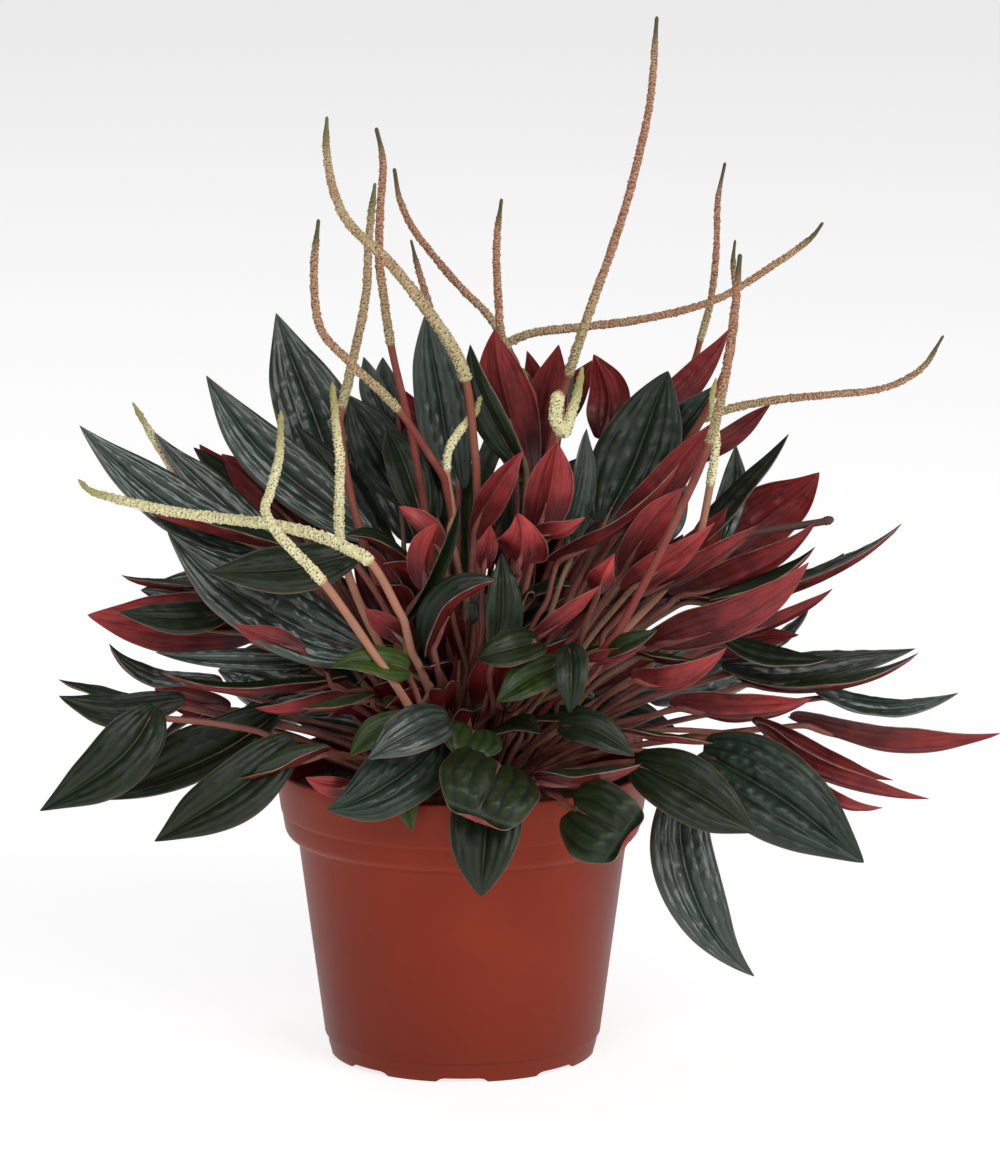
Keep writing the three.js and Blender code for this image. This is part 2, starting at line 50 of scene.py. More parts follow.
POT_HEIGHT = 94.0
RIM_RADIUS = 60.0
WALL = 1.2
COLLAR_FOOT_RADIUS = 56.8
COLLAR_FOOT_HEIGHT = 74.3
BODY_TOP_RADIUS = 52.6
BODY_TOP_HEIGHT = 70.6
BODY_FOOT_RADIUS = 44.2
BODY_FOOT_HEIGHT = 6.4
FOOT_RADIUS = 42.5
FOOT_TOP_RADIUS = 43.4
BASE_LIFT = 2.0
PAD_RADIUS = 11.0
PAD_SLOPE = 1.6
NOTCHES = 8
NOTCH_HEIGHT = 1.2
DRAIN_HOLES = 6
DRAIN_HOLE_RADIUS = 3.2
DRAIN_HOLE_CIRCLE = 27.0
POT_SIDES = 192

SOIL_TOP = 86.0
SOIL_FALL = 2.5
SOIL_SEED = 71
CRUMBS_AND_FIBRES = 900
CRUMB_SHARE = 0.85
CROWN_RADIUS = 26.0
CROWN_SEAT = SOIL_TOP + 0.5 - SOIL_FALL * CROWN_RADIUS / RIM_RADIUS
CROWN_EDGE = 0.6
CROWN_HEIGHT = 9.0
CROWN_SEED = 72
SHORT_STEMS = 170
SHORT_STEM_REACH = 0.93

# ---------------------------------------------------------------- the plant, as it is seen

# A point of the plant is written (x, z, y). x and z are where it is seen from EYE on the upright plane
# through the pot's axis, and y is its depth, which grows away from EYE. EYE is also where the camera is.
EYE = np.array([12.0, -2200.0, 604.0])

# name, neck, mid and tip of the midrib, width, turn about the midrib in degrees (0 shows the upper face,
# 180 the underside), fold, the angle each half is raised by, and freshness: 0 has a painted silvery sheen on
# its crests, 0.3 dark, 1 new
NODE_LEAVES = [
    # left
    ("leaf_left_peak", (-38, 178, 36), (-48, 208, 48), (-58.5, 239, 52), 27, 0, 14, 0.08),
    ("leaf_left_high", (-35, 171, 14), (-61.5, 193.5, 20), (-80.5, 219, 18), 20, 10, 20, 0.0),
    ("leaf_left_high_red", (-44, 160, 24), (-66, 177.5, 32), (-83, 197, 34), 21, 165, 12, 0.15),
    ("leaf_left_long", (-64, 164, 6), (-95, 178.5, 4), (-121, 203, 2), 20, 25, 20, 0.0),
    ("leaf_left_broad", (-37, 132, -14), (-67, 145.5, -14), (-93.5, 169, -12), 27, 30, 10, 0.0),
    ("leaf_left_pale_edge", (-37, 161, -30), (-59, 156.5, -36), (-81, 156, -36), 17, 25, 10, 0.3),
    ("leaf_left_red", (-70, 137, 4), (-94, 138, 2), (-119, 142, 0), 25, 145, 15, 0.5),
    ("leaf_left_narrow", (-80, 119, 14), (-100, 120, 16), (-112.5, 132.5, 16), 14, 60, 30, 0.1),
    ("leaf_left_far", (-92, 113, 2), (-111, 110, 2), (-128.5, 115.5, 0), 17, 45, 15, 0.2),
    ("leaf_left_drooping", (-100, 108, -22), (-113, 92.5, -28), (-135, 78, -26), 20, 0, 12, 0.2),
    ("leaf_left_dark", (-63, 107, -3), (-88, 91.5, -6), (-115, 81.5, -4), 25, 30, 32, 0.3),
    ("leaf_left_low", (-57, 98, -44), (-77, 81.5, -52), (-98.5, 68, -50), 20, 5, 15, 0.25),
    # front
    ("leaf_front_small", (-6, 108, -64), (-17, 103.5, -75), (-30, 95, -80), 16, 20, 10, 0.12),
    ("leaf_front_puckered", (-10, 99, -54), (-24, 86, -68), (-43, 78.5, -74), 22, 0, 10, 0.14),
    ("leaf_front_heart", (11.5, 92.5, -60), (8, 84, -78), (3, 71, -86), 32, 0, 5, 0.42),
    ("leaf_front_hanging", (8, 87, -55), (7, 69, -69), (6, 50, -71), 23, 0, 12, 0.25),
    ("leaf_front_right_heart", (36.5, 78.5, -68), (46.5, 73, -79), (58, 65, -82), 26, 0, 5, 0.4),
    ("leaf_front_right", (58, 92, -46), (76, 82, -56), (93.5, 71, -58), 21, 0, 12, 0.25),
    # right
    ("leaf_right_broad", (81, 95, -20), (103, 80.5, -30), (128.5, 61, -34), 30, -5, 10, 0.14),
    ("leaf_right_hanging", (71, 84, -28), (73.2, 51, -40), (93.5, 23.5, -42), 21, -5, 15, 0.1),
    ("leaf_right_far", (110, 106.5, 0), (141, 99.2, 2), (171.5, 103.5, 0), 17, -120, 20, 0.3),
    ("leaf_right_twisted", (116, 115.5, 20), (137, 110.8, 26), (158, 116.5, 24), 13, -60, 15, 0.0),
    ("leaf_right_red_boat", (70, 112, -8), (92, 109.5, -12), (111, 115, -12), 16, -130, 25, 0.7),
    ("leaf_right_level", (88, 124, 10), (115, 123.5, 14), (144, 131, 10), 18, -55, 15, 0.12),
    ("leaf_right_long", (72, 147, 12), (108, 150.5, 14), (139, 172, 8), 18, -80, 25, 0.1),
    ("leaf_right_red_middle", (63, 133, -24), (88, 141, -30), (110, 159, -26), 18, -140, 15, 0.3),
    ("leaf_right_red_high", (78, 157, 24), (97, 173, 30), (113, 188, 28), 23, -160, 12, 0.1),
    ("leaf_right_red_peak", (52, 196, 34), (70, 214.5, 40), (84, 234, 40), 12.5, -155, 15, 0.1),
    # the middle
    ("leaf_top_tall", (-2, 188, 14), (-8, 214, 16), (-11, 240, 12), 18, 0, 15, 0.05),
    ("leaf_top_red", (20, 190, 2), (13, 214, 2), (10.5, 234, -2), 18, 180, 15, 0.2),
    ("leaf_top_broad", (47, 176, 2), (57, 198.5, 8), (65, 220.5, 8), 26, 0, 8, 0.16),
    ("leaf_middle_red", (24, 168, -22), (28, 184, -24), (30, 197.5, -20), 17, 180, 26, 0.55),
    ("leaf_middle_green", (-9, 133, -40), (-1, 146, -48), (11, 153.5, -46), 19, -55, 45, 0.2),
    ("leaf_front_bright", (30, 126, -44), (20, 120, -56), (11, 114, -60), 13, 15, 15, 0.6),
    ("leaf_top_red_bent", (45, 201, 20), (46, 213, 24), (41.5, 226, 20), 14, 180, 10, 0.15),
    # the far side
    ("leaf_back_left", (-58, 136, 44), (-80, 146, 62), (-102, 150, 74), 25, 25, 12, 0.1),
    ("leaf_back_left_low", (-44, 112, 70), (-62, 121, 94), (-78, 124, 112), 26, 10, 12, 0.1),
    ("leaf_back_tall", (-14, 170, 50), (-20, 190, 68), (-26, 206, 78), 26, 0, 12, 0.1),
    ("leaf_back_middle", (-6, 132, 76), (-10, 148, 100), (-12, 152, 126), 28, 0, 12, 0.2),
    ("leaf_back_low", (22, 108, 76), (32, 118, 100), (38, 120, 122), 26, 0, 12, 0.1),
    ("leaf_back_right", (34, 150, 56), (50, 168, 74), (62, 176, 86), 26, 0, 12, 0.2),
    ("leaf_back_right_low", (62, 118, 58), (84, 128, 76), (102, 130, 90), 26, -10, 12, 0.1),
]

# the smaller leaves between those, written the same way and named by their side and number
SMALL_LEAVES = {
    "left": [
        ((-17, 181, 22), (-28, 198, 26), (-36, 213, 26), 18, 10, 12, 0.15),
        ((-24, 205, 30), (-28, 215, 31), (-31, 225, 30), 9, 0, 15, 0.1),
        ((-21, 207, 32), (-24, 217, 33), (-25, 225, 33), 8, 20, 15, 0.1),
        ((-10, 196, 32), (-20, 208, 34), (-30, 218, 34), 14, 170, 14, 0.15),
        ((-50, 168, 20), (-64, 183, 24), (-76, 194, 26), 14, 165, 12, 0.2),
        ((-62, 168, 16), (-80, 181, 18), (-97, 201, 18), 14, 30, 15, 0.1),
        ((-62, 172, 28), (-73, 184, 30), (-85, 196, 30), 12, 20, 15, 0.2),
        ((-58, 163, -6), (-80, 169, -8), (-101, 177, -8), 18, 80, 28, 0.3),
        ((-52, 131, -22), (-62, 134, -24), (-72, 139, -24), 9, 160, 20, 0.5),
        ((-78, 152, 6), (-94, 151, 8), (-108, 155, 8), 10, 80, 25, 0.3),
        ((-75, 143, -4), (-92, 141, -8), (-109, 143, -8), 13, 35, 12, 0.3),
        ((-42, 120, -14), (-68, 117, -18), (-96, 123, -16), 13, 80, 25, 0.3),
        ((-42, 129, -8), (-70, 126.5, -12), (-97.5, 130, -10), 8, 20, 20, 0.0),
        ((-30, 118, 12), (-40, 122, 16), (-52, 130, 16), 13, 170, 15, 0.1),
        ((-30, 104, 6), (-40, 106, 8), (-54, 108, 8), 13, 10, 15, 0.0),
        ((-104, 114, 10), (-117, 116.5, 12), (-128.5, 121, 12), 7, 60, 20, 0.2),
        ((-76, 112, 4), (-88, 114, 6), (-98, 118, 6), 10, 165, 15, 0.3),
        ((-78, 112, 8), (-88, 107, 10), (-98, 99.5, 10), 7, 60, 25, 0.1),
        ((-45, 97, -46), (-60, 91, -50), (-75, 88, -50), 12, 58, 42, 0.5),
        ((-40, 115, -28), (-53, 111, -30), (-66, 111.5, -30), 9, 120, 30, 0.6),
        ((-30, 115, -38), (-40, 112, -42), (-51, 111.5, -42), 9, 70, 25, 0.6),
        ((-19, 125, -48), (-30, 127, -54), (-42, 125, -54), 12, 30, 12, 0.9),
        ((-19, 134, -40), (-25, 139, -42), (-31, 144, -42), 8, 170, 20, 0.4),
    ],
    "front": [
        ((-18, 108, -58), (-28, 103, -62), (-36, 96, -64), 10, 20, 15, 0.7),
        ((3.5, 104, -50), (2, 100, -58), (0, 95, -62), 20, 0, 10, 0.6),
        ((-20, 90, -58), (-18, 80, -62), (-16, 71, -64), 9, 0, 15, 0.9),
        ((-36, 86, -58), (-43, 86, -60), (-50, 89, -60), 7, 170, 25, 0.8),
        ((26, 88, -60), (42, 87, -66), (57, 93.5, -64), 15, -78, 38, 0.2),
        ((33, 106, -50), (44, 103, -56), (55, 96, -58), 12, -20, 15, 0.2),
        ((52, 104, -44), (66, 101.5, -48), (80, 100, -48), 8, -85, 25, 0.3),
    ],
    "right": [
        ((84, 133, 2), (100, 127, -2), (117, 128, -2), 14, -60, 18, 0.3),
        ((92, 120, 4), (118, 118, 2), (145, 130, 0), 14, -75, 25, 0.4),
        ((90, 128, 18), (102, 134, 22), (110.5, 144.5, 22), 9, -60, 20, 0.1),
        ((108, 152, 22), (115, 156, 24), (121, 162, 24), 6, -40, 20, 0.2),
        ((70, 149, 6), (92.5, 155.5, 6), (112, 172.5, 4), 15, -135, 25, 0.3),
        ((82, 147, 0), (98, 152.5, 2), (112, 164, 2), 11, -70, 25, 0.3),
        ((72, 162, 16), (88, 178.5, 18), (103, 200.5, 18), 14, -55, 25, 0.2),
        ((82, 168, 26), (85, 182, 30), (86.5, 197, 30), 11, 20, 20, 0.1),
        ((70, 190, 28), (86, 200.5, 34), (97.5, 210, 34), 8, -160, 20, 0.1),
        ((60, 188, 16), (70, 203, 20), (80, 216, 20), 13, -15, 15, 0.15),
        ((51, 171, -2), (66, 186, -4), (79, 204, -6), 14, -160, 30, 0.3),
        ((32, 161, -12), (52, 172, -18), (69, 191, -18), 10, -95, 35, 0.3),
        ((52, 158, -16), (60, 171, -22), (70, 183, -22), 12, -160, 20, 0.6),
        ((54, 151, -22), (67, 160, -28), (80, 172, -28), 12, -150, 20, 0.9),
        ((57, 149, -14), (76, 158, -16), (94, 171, -16), 10, -140, 28, 0.3),
        ((56, 121, -34), (70, 120, -40), (84, 131.5, -38), 13, -135, 28, 0.7),
        ((47, 130, -38), (54, 133, -42), (62, 137, -42), 8, -40, 20, 0.5),
        ((57, 129, -30), (66, 127, -34), (75, 127, -34), 8, -80, 25, 0.3),
        ((39, 126, -36), (48, 128, -40), (57, 131.5, -40), 7, -140, 25, 0.5),
        ((96, 105, -10), (114, 95, -14), (137.5, 88, -14), 10, -135, 25, 0.3),
        ((98, 102, -18), (120, 88, -24), (149, 82.3, -22), 11, -130, 25, 0.3),
        ((110, 88, -24), (121, 80.5, -28), (134.3, 78.8, -26), 7, -130, 25, 0.5),
        ((88, 136, 6), (104, 141.5, 8), (117.5, 150.5, 8), 6, -140, 20, 0.2),
        ((78, 131, 14), (92, 133.5, 16), (107, 135.5, 16), 9, 180, 15, 0.0),
        ((62, 150, 6), (72, 160, 10), (84, 177, 12), 15, 180, 15, 0.0),
        ((60, 166, 4), (66, 176, 8), (70, 190, 8), 11, 20, 20, 0.0),
        ((30, 128, 4), (42, 136, 8), (56, 148, 8), 15, 175, 15, 0.0),
        ((36, 118, 14), (50, 126, 18), (66, 134, 18), 15, 180, 15, 0.0),
        ((36, 110, 22), (50, 115, 28), (64, 118, 28), 13, 10, 15, 0.0),
    ],
    "middle": [
        ((16, 194, -6), (7, 211, -8), (2.5, 229, -8), 13, -30, 20, 0.2),
        ((22, 193, 16), (27, 212, 18), (30.5, 229, 18), 14, 180, 12, 0.15),
        ((22, 204, 26), (23, 216, 27), (20.5, 227, 26), 8, 180, 15, 0.1),
        ((28, 206, 28), (31, 215, 29), (34.5, 224, 29), 8, 10, 15, 0.1),
        ((32, 205, 34), (36, 215, 36), (41, 224, 36), 9, 180, 15, 0.15),
        ((34, 168, -8), (36.5, 185, -10), (39.5, 202, -10), 13, 40, 25, 0.1),
        ((4, 169, -20), (10, 182, -24), (19.5, 195, -24), 12, 165, 32, 0.55),
        ((-7, 163, -30), (-13, 170, -33), (-20, 177, -32), 12, 150, 45, 0.8),
        ((-12, 152, -34), (-11.5, 162, -38), (-8, 171.5, -38), 13, 205, 45, 0.8),
        ((-17, 143, -36), (-7, 160, -40), (-1, 178, -40), 11, 25, 58, 0.3),
        ((18, 159, -40), (19, 166, -46), (17.5, 175, -46), 21, 180, 30, 1.0),
        ((7, 158, -36), (8, 164, -38), (9, 171, -38), 7, 180, 20, 0.6),
        ((23, 168, -30), (31, 169, -34), (39, 173.5, -34), 8, -140, 25, 0.7),
        ((43, 149, -38), (45, 155, -44), (48.5, 162, -42), 12, 180, 35, 1.0),
        ((11, 131, -38), (13, 147, -38), (12.5, 162, -36), 13, 20, 20, 0.2),
        ((23, 133, -48), (14, 130.5, -56), (5, 128, -56), 14, 30, 15, 0.4),
        ((34, 131, -50), (35, 121, -58), (34, 110, -58), 11, 0, 15, 0.2),
        ((24, 135, -44), (34, 142, -48), (43.5, 151.5, -48), 8, -140, 30, 0.5),
        ((-20, 142, 24), (-26, 155, 28), (-33, 172, 28), 18, 180, 15, 0.0),
        ((-14, 120, 26), (-24, 134, 30), (-36, 150, 30), 18, 0, 15, 0.0),
        ((16, 134, 24), (23, 148, 28), (29, 166, 28), 18, 180, 15, 0.0),
        ((28, 122, 26), (41, 137, 30), (56, 154, 30), 18, 180, 15, 0.0),
        ((46, 140, 22), (58, 152, 26), (70, 168, 26), 17, 180, 15, 0.0),
        ((38, 112, 12), (53, 109, 16), (68, 105, 16), 14, 0, 15, 0.2),
        ((36, 175, 16), (38, 186, 16), (41, 196, 16), 10, 0, 15, 0.2),
    ],
}

# name, the flowering part from its tip down, where its bare stalk is next seen, ripeness (0 for a cream
# spike, 1 for a brown one, more for one that is cut and withered), and the width of the flowering part at
# its base and near its tip
NODE_SPIKES = [
    ("spike_tallest", [(61, 333, 24), (59, 306.5, 24), (56, 291, 22), (52, 275, 20), (47, 259, 16),
                       (41.5, 243.5, 13), (37, 230, 12), (33.5, 219, 12)], [], 0.8, 3.2, 2.1),
    ("spike_left_bent", [(-42.2, 301.5, -44), (-42.4, 291, -42), (-40.4, 278.5, -38), (-35.7, 268, -33),
                         (-24, 256.5, -26), (-12, 241.5, -18), (-3, 228, -14), (1.3, 217.5, -12)],
     [(4, 195, -12)], 0.45, 4.3, 2.3),
    ("spike_left_straight", [(-26.8, 298, -10), (-24.7, 287.5, -10), (-25.6, 272, -8), (-26, 255.5, -7),
                             (-24.8, 246, -6), (-22.4, 229, -4)], [(-17, 205, -4)], 0.8, 2.9, 2.3),
    ("spike_left_behind", [(-27.2, 280.5, 34), (-29.2, 263, 30), (-30.2, 245, 24), (-34.4, 224, 16),
                           (-38, 208.5, 8)], [], 0.45, 3.2, 2.4),
    ("spike_left_outer", [(-45, 269, -40), (-46.5, 252, -38), (-44.5, 234, -32), (-36, 224, -26),
                          (-20, 208, -20)], [(-8, 190, -16)], 0.6, 2.9, 2.3),
    ("spike_slanting", [(-21.2, 285.2, 44), (-19.4, 275, 42), (-15.6, 266.5, 39), (-9.4, 258, 35),
                        (-0.6, 247.5, 30), (9, 237.5, 25), (15, 227, 21)], [], 1.0, 2.7, 2.1),
    ("spike_middle", [(12.5, 275.5, -6), (11, 262, -2), (11.5, 243, 4), (13.5, 227, 8), (20, 217, 10)],
     [], 0.7, 2.9, 2.1),
    ("spike_right_level", [(113.5, 268, 58), (110, 263.3, 57), (98.5, 254.7, 55), (79.7, 243.3, 50),
                           (56, 237, 42), (36, 234.5, 35), (19.9, 232, 30), (13.4, 228, 29),
                           (15, 223.5, 28), (20.5, 218.5, 27)], [], 0.6, 3.0, 2.1),
    ("spike_right_back", [(82.6, 287, 84), (80.4, 275, 82), (80, 259, 76), (78.4, 243.5, 70), (75, 230, 64)],
     [], 0.9, 2.5, 1.8),
    ("spike_right_upright", [(87.5, 258, -14), (85.5, 236, -16), (82, 213, -20), (78, 197, -24)],
     [(64, 165, -38), (51, 139, -38)], 0.8, 3.2, 2.5),
    ("spike_right_low", [(151.8, 232, 24), (146, 222.5, 25), (141.4, 218.7, 26), (132, 214.8, 26),
                         (116, 213, 26), (97, 211, 26), (83, 208, 26), (76, 205, 26)], [], 0.55, 2.8, 1.8),
    ("spike_left_level", [(-121.5, 185.8, -12), (-117.8, 182.2, -13), (-111.5, 180, -14), (-89.4, 175, -22),
                          (-57.7, 170.8, -36), (-45, 167.3, -43), (-35.6, 163.2, -47), (-29, 159, -48)],
     [(-20, 143, -46)], 0.0, 4.0, 2.9),
    ("spike_left_crossing", [(-57.2, 208, -30), (-57.8, 193.5, -34), (-60.8, 181.7, -40), (-62.4, 176.5, -43),
                             (-59.3, 169.5, -48), (-44, 152.5, -54)], [(-26.5, 127, -54)], 0.0, 3.4, 2.9),
    ("spike_left_short", [(-40.9, 217, -20), (-40, 205, -20), (-38.6, 192, -20), (-39, 176, -24),
                          (-38.7, 166, -26)], [], 0.0, 3.4, 2.8),
    ("spike_left_small", [(-104, 210.5, 20), (-98, 200, 20), (-91, 188, 20)], [], 0.2, 2.9, 2.3),
]
SMALL_SPIKES = [
    ("spike_small_behind", [(-16, 262.5, 30), (-13.8, 253.5, 30), (-10.5, 242, 28), (-8, 230, 26)],
     [], 0.6, 2.8, 1.8),
    ("spike_small_right_tip", [(85.9, 262.4, 4), (85.3, 255.4, 4), (86.2, 245, 4), (85.5, 232, 2)],
     [], 0.6, 2.4, 1.8),
    ("spike_small_right_cream", [(80.2, 218.4, -6), (78.9, 211.3, -6), (80.3, 198.5, -8), (78.5, 184, -8)],
     [(76.3, 172, -8)], 0.1, 3.0, 2.2),
    ("spike_small_pale", [(6, 213.5, -8), (4.4, 208, -9), (0, 202.3, -11), (-4.1, 195.3, -13),
                          (-4.8, 188.5, -14)], [(-3.2, 177.5, -14)], 0.0, 2.7, 3.0),
    ("spike_small_curled", [(38, 222, -4), (36.5, 214, -5), (34.5, 207, -7), (32, 201, -9),
                            (29.6, 205.5, -10), (30.4, 213, -8)], [(31, 211, 2)], 0.15, 4.6, 3.2),
    ("spike_small_stub", [(117.8, 173, 6), (116.8, 172.8, 6), (114.5, 172.2, 6)],
     [(95, 169, 8)], 1.2, 2.9, 3.0),
]

# Leaves of the far side and of the inside, placed by chance round the crown: the most there can be, the
# directions that they grow in, radius and height of their necks and tips, width, and freshness
RANDOM_LEAVES = {
    "far_low": dict(count=11, heading=(38, 142), neck=((46, 62), (96, 108)), tip=((86, 106), (72, 98)),
                    width=(15, 23), fresh=(0, 0.2)),
    "far_middle": dict(count=13, heading=(25, 155), neck=((34, 50), (112, 132)), tip=((74, 92), (132, 156)),
                       width=(14, 22), fresh=(0, 0.3)),
    "far_high": dict(count=12, heading=(30, 150), neck=((22, 38), (140, 160)), tip=((50, 70), (176, 202)),
                     width=(13, 20), fresh=(0, 0.3)),
    "top": dict(count=7, heading=(10, 170), neck=((8, 20), (158, 176)), tip=((22, 40), (196, 206)),
                width=(12, 17), fresh=(0.1, 0.5)),
    "inner_low": dict(count=44, heading=(0, 360), neck=((16, 32), (104, 124)), tip=((34, 58), (112, 140)),
                      width=(10, 15), fresh=(0.0, 0.4)),
    "inner_high": dict(count=38, heading=(0, 360), neck=((8, 24), (124, 150)), tip=((20, 44), (146, 176)),
                       width=(11, 16), fresh=(0.0, 0.4)),
}
CHANCE_SEED = 5
# how often each of them is drawn, and how far the marks of the best draw must be from all other marks
DRAWS_PER_LEAF = 24
LEAF_ROOM = 3.0

# ---------------------------------------------------------------- how stalks make room for one another

ROOT_ROUNDS = 60
ROOT_LEAST = 0.15
ROOT_GAIN = 0.9
ROOT_MOST = 0.94
ROOT_LIMIT = 0.95
ROOT_STEEPNESS = 2.0
STALK_RISE = 0.4
STALK_ARRIVE = 0.3
OUTWARD_SHARE = 0.5
STALK_DEPTH = 1.5
KNOTS = 22
FIXED_KNOTS = 2
BLADE_ROOM = 5.0
SMOOTHING = 0.15
RIM_CLEARANCE = 2.5
RIM_INSIDE = 6.0
RIM_OUTSIDE = 5.0
# marks are points along and across a blade, as shares of its length and half its width, or along a spike
MARK_STATIONS =np.array([-0.06, 0.1, 0.22, 0.34, 0.46, 0.58, 0.7, 0.82, 0.94])
MARKS_ACROSS = np.array([-0.9, -0.45, 0, 0.45, 0.9])
MARK_TAPER = 1.9
MARK_SPACING = 4.0
NODE_ROOM = SimpleNamespace(root=5.1, stalk=3.7, rounds=100)
SMALL_ROOM = SimpleNamespace(root=3.1, stalk=2.9, rounds=45)

# ---------------------------------------------------------------- shape of blades, stalks and flowers

HEEL = 0.1
BLADE_THICKNESS = 0.55
# the lengthwise veins, as shares of the way from the midrib to the margin, and the quilting between them,
# as shares of the blade's width
VEINS = np.array([0, 0.38, 0.72, 1])
PUCKER_PITCH = 0.14
RELIEF = 0.055
# the finer hammering of the quilting: its waves, the range of their lengths, and its share of the depth
HAMMER_WAVES = 7
HAMMER_LENGTH = (3.0, 7.5)
HAMMER_DEPTH = 0.14
# how far the blade bulges and how far its margin droops, as shares of half its width
WING_BULGE = 0.11
EDGE_DROOP = 0.09
# the radius of the reddish spot on a round blade above the end of its stalk
JOINT_SPOT = 1.1
# the share of these blades, at the tip, that is curled up towards the upper face
CURLED_TIPS = {"leaf_front_heart": 0.2, "leaf_front_right_heart": 0.29}
CURL_RADIUS = 2.6
# leaves less fresh than this have the silvery ones' gloss, which is the upper face's specular level
SILVERY_BELOW = 0.13
SILVERY_GLOSS = 0.85
DARK_GLOSS = 0.36
# the order of a leaf's materials
UPPER_FACE, UNDER_FACE, MARGIN, STALK = range(4)
STALK_SIDES = 10
STALK_STEP = 1.3
# the share of the blade's length that its stalk runs on below it
STALK_RUN_OUT = 0.31
STEM_WIDTH = 0.82
TIP_WIDTH = 0.62
YOUNG_TIP_WIDTH = 0.3
TIP_ROUNDING = 0.9
FLOWER_SIDES = 36
FLOWER_STEP = 0.2
FLORET_COLUMNS = 9
FLORET_ROW = 0.92
FLORET_SIZE = 0.64
FLORET_HEIGHT = 0.5
ANTHER_SIZE = 0.34
ANTHER_OFFSET = 0.52
BARE_TIP = 9.0

# ---------------------------------------------------------------- studio

FLOOR_HALF_WIDTH = 4000.0
FLOOR_TOP = -0.15
FLOOR_BOTTOM = -40.0
FLOOR_GLOW = 0.76
WORLD_STRENGTH = 0.05
# name, place, the point it shines at, width and height, all in metres, and power in watts
LIGHTS = [
    ("key", (1.3, -1.6, 1.3), (0, 0, 0.15), (1.5, 1.2), 30),
    ("front", (-0.45, -2.0, 1.35), (0, 0, 0.2), (1.3, 0.9), 15),
    ("top", (-0.4, 0.4, 1.8), (0, 0, 0.15), (1.2, 1.0), 5),
    ("back", (-0.9, 1.4, 1.6), (0, 0, 0.15), (1.2, 0.9), 7),
    ("rim_right", (1.5, 0.5, 0.7), (0, 0, 0.15), (0.5, 1.0), 4),
]
CAMERA_SENSOR = 36.0
CAMERA_LENS = 218.1
CAMERA_AIM_HEIGHT = 152.0


# ---------------------------------------------------------------- points, curves and frames

def place(points):
    """The places of points written (x, z, y) as they are seen from EYE."""
    seen = np.array(points, float).reshape(-1, 3)
    on_plane = np.stack([seen[:, 0], np.zeros(len(seen)), seen[:, 1]], axis=1)
    slide = (seen[:, 2] - EYE[1]) / -EYE[1]
    return EYE + (on_plane - EYE) * slide[:, None]


def unit(vectors):
    return vectors / np.maximum(np.linalg.norm(vectors, axis=-1, keepdims=True), 1e-9)


def ease(low, high, values):
    """0 below low, 1 above high and a smooth step between."""
    share = np.clip((values - low) / (high - low), 0, 1)
    return share * share * (3 - 2 * share)


def wave(rng, slowest, fastest, values):
    """A sine wave along the values, its pace between two limits and its start drawn by chance."""
    return np.sin(rng.uniform(slowest, fastest) * values + rng.uniform(0, 6))


def curve_through(points, steps=12):
    """A centripetal Catmull-Rom curve, as points close together and their distances along it."""
    points = np.asarray(points, float)
    ends = [2 * points[0] - points[1]], [2 * points[-1] - points[-2]]
    padded = np.concatenate([ends[0], points, ends[1]])
    knots = np.concatenate([[0], np.cumsum(np.linalg.norm(np.diff(padded, axis=0), axis=1) ** 0.5)])
    pieces = []
    for i in range(1, len(padded) - 2):
        p, k = padded[i - 1:i + 3], knots[i - 1:i + 3]
        t = np.linspace(k[1], k[2], steps, endpoint=False)[:, None]
        a = [p[j] + (p[j + 1] - p[j]) * (t - k[j]) / (k[j + 1] - k[j]) for j in range(3)]
        b = [a[j] + (a[j + 1] - a[j]) * (t - k[j]) / (k[j + 2] - k[j]) for j in range(2)]
        pieces.append(b[0] + (b[1] - b[0]) * (t - k[1]) / (k[2] - k[1]))
    line = np.concatenate(pieces + [points[-1:]])
    distance = np.concatenate([[0], np.cumsum(np.linalg.norm(np.diff(line, axis=0), axis=1))])
    return line, distance


def along_curve(curve, distances):
    line, known = curve
    return np.stack([np.interp(distances, known, line[:, axis]) for axis in range(3)], axis=1)


def tube_frames(line):
    """Two directions across the line at each of its points, turning no more than the line does."""
    tangents = unit(np.gradient(line, axis=0))
    side = np.cross(tangents[0], [0.3, 0.9, 0.2])
    sides = []
    for tangent in tangents:
        side = side - tangent * side.dot(tangent)
        side = side / math.sqrt(side.dot(side))
        sides.append(side)
    sides = np.array(sides)
    return sides, np.cross(tangents, sides)


# ---------------------------------------------------------------- closed surfaces

def loft(rings, slots=0, **values):
    """A closed surface through rings with the same even number of points, and values for each point."""
    rows, sides, _ = rings.shape
    index = np.arange(rows * sides).reshape(rows, sides)
    ahead = np.roll(index, -1, axis=1)
    walls = np.stack([index[:-1], ahead[:-1], ahead[1:], index[1:]], axis=-1).reshape(-1, 4)
    half = np.arange(sides // 2 - 1)
    cap = np.stack([half, half + 1, sides - 2 - half, sides - 1 - half], axis=-1)
    wall_slots = np.broadcast_to(slots, (rows - 1, sides)).ravel()
    cap_slots = np.full(len(cap), wall_slots[0])
    return SimpleNamespace(
        points=rings.reshape(-1, 3),
        quads=np.concatenate([walls, cap[:, ::-1], index[-1][cap]]),
        slots=np.concatenate([wall_slots, cap_slots, cap_slots]),
        values={name: np.broadcast_to(value, (rows, sides)).ravel() for name, value in values.items()},
    )


def tube(line, radii, sides, slots=0, **values):
    """A closed tube along a line, its radius given for each ring or for each point of each ring."""
    across, up = tube_frames(line)
    angles = np.arange(sides) / sides * 2 * math.pi
    spokes = across[:, None] * np.cos(angles)[:, None] + up[:, None] * np.sin(angles)[:, None]
    radii = np.broadcast_to(np.asarray(radii).reshape(len(line), -1), (len(line), sides))
    return loft(line[:, None] + spokes * radii[..., None], slots, **values)


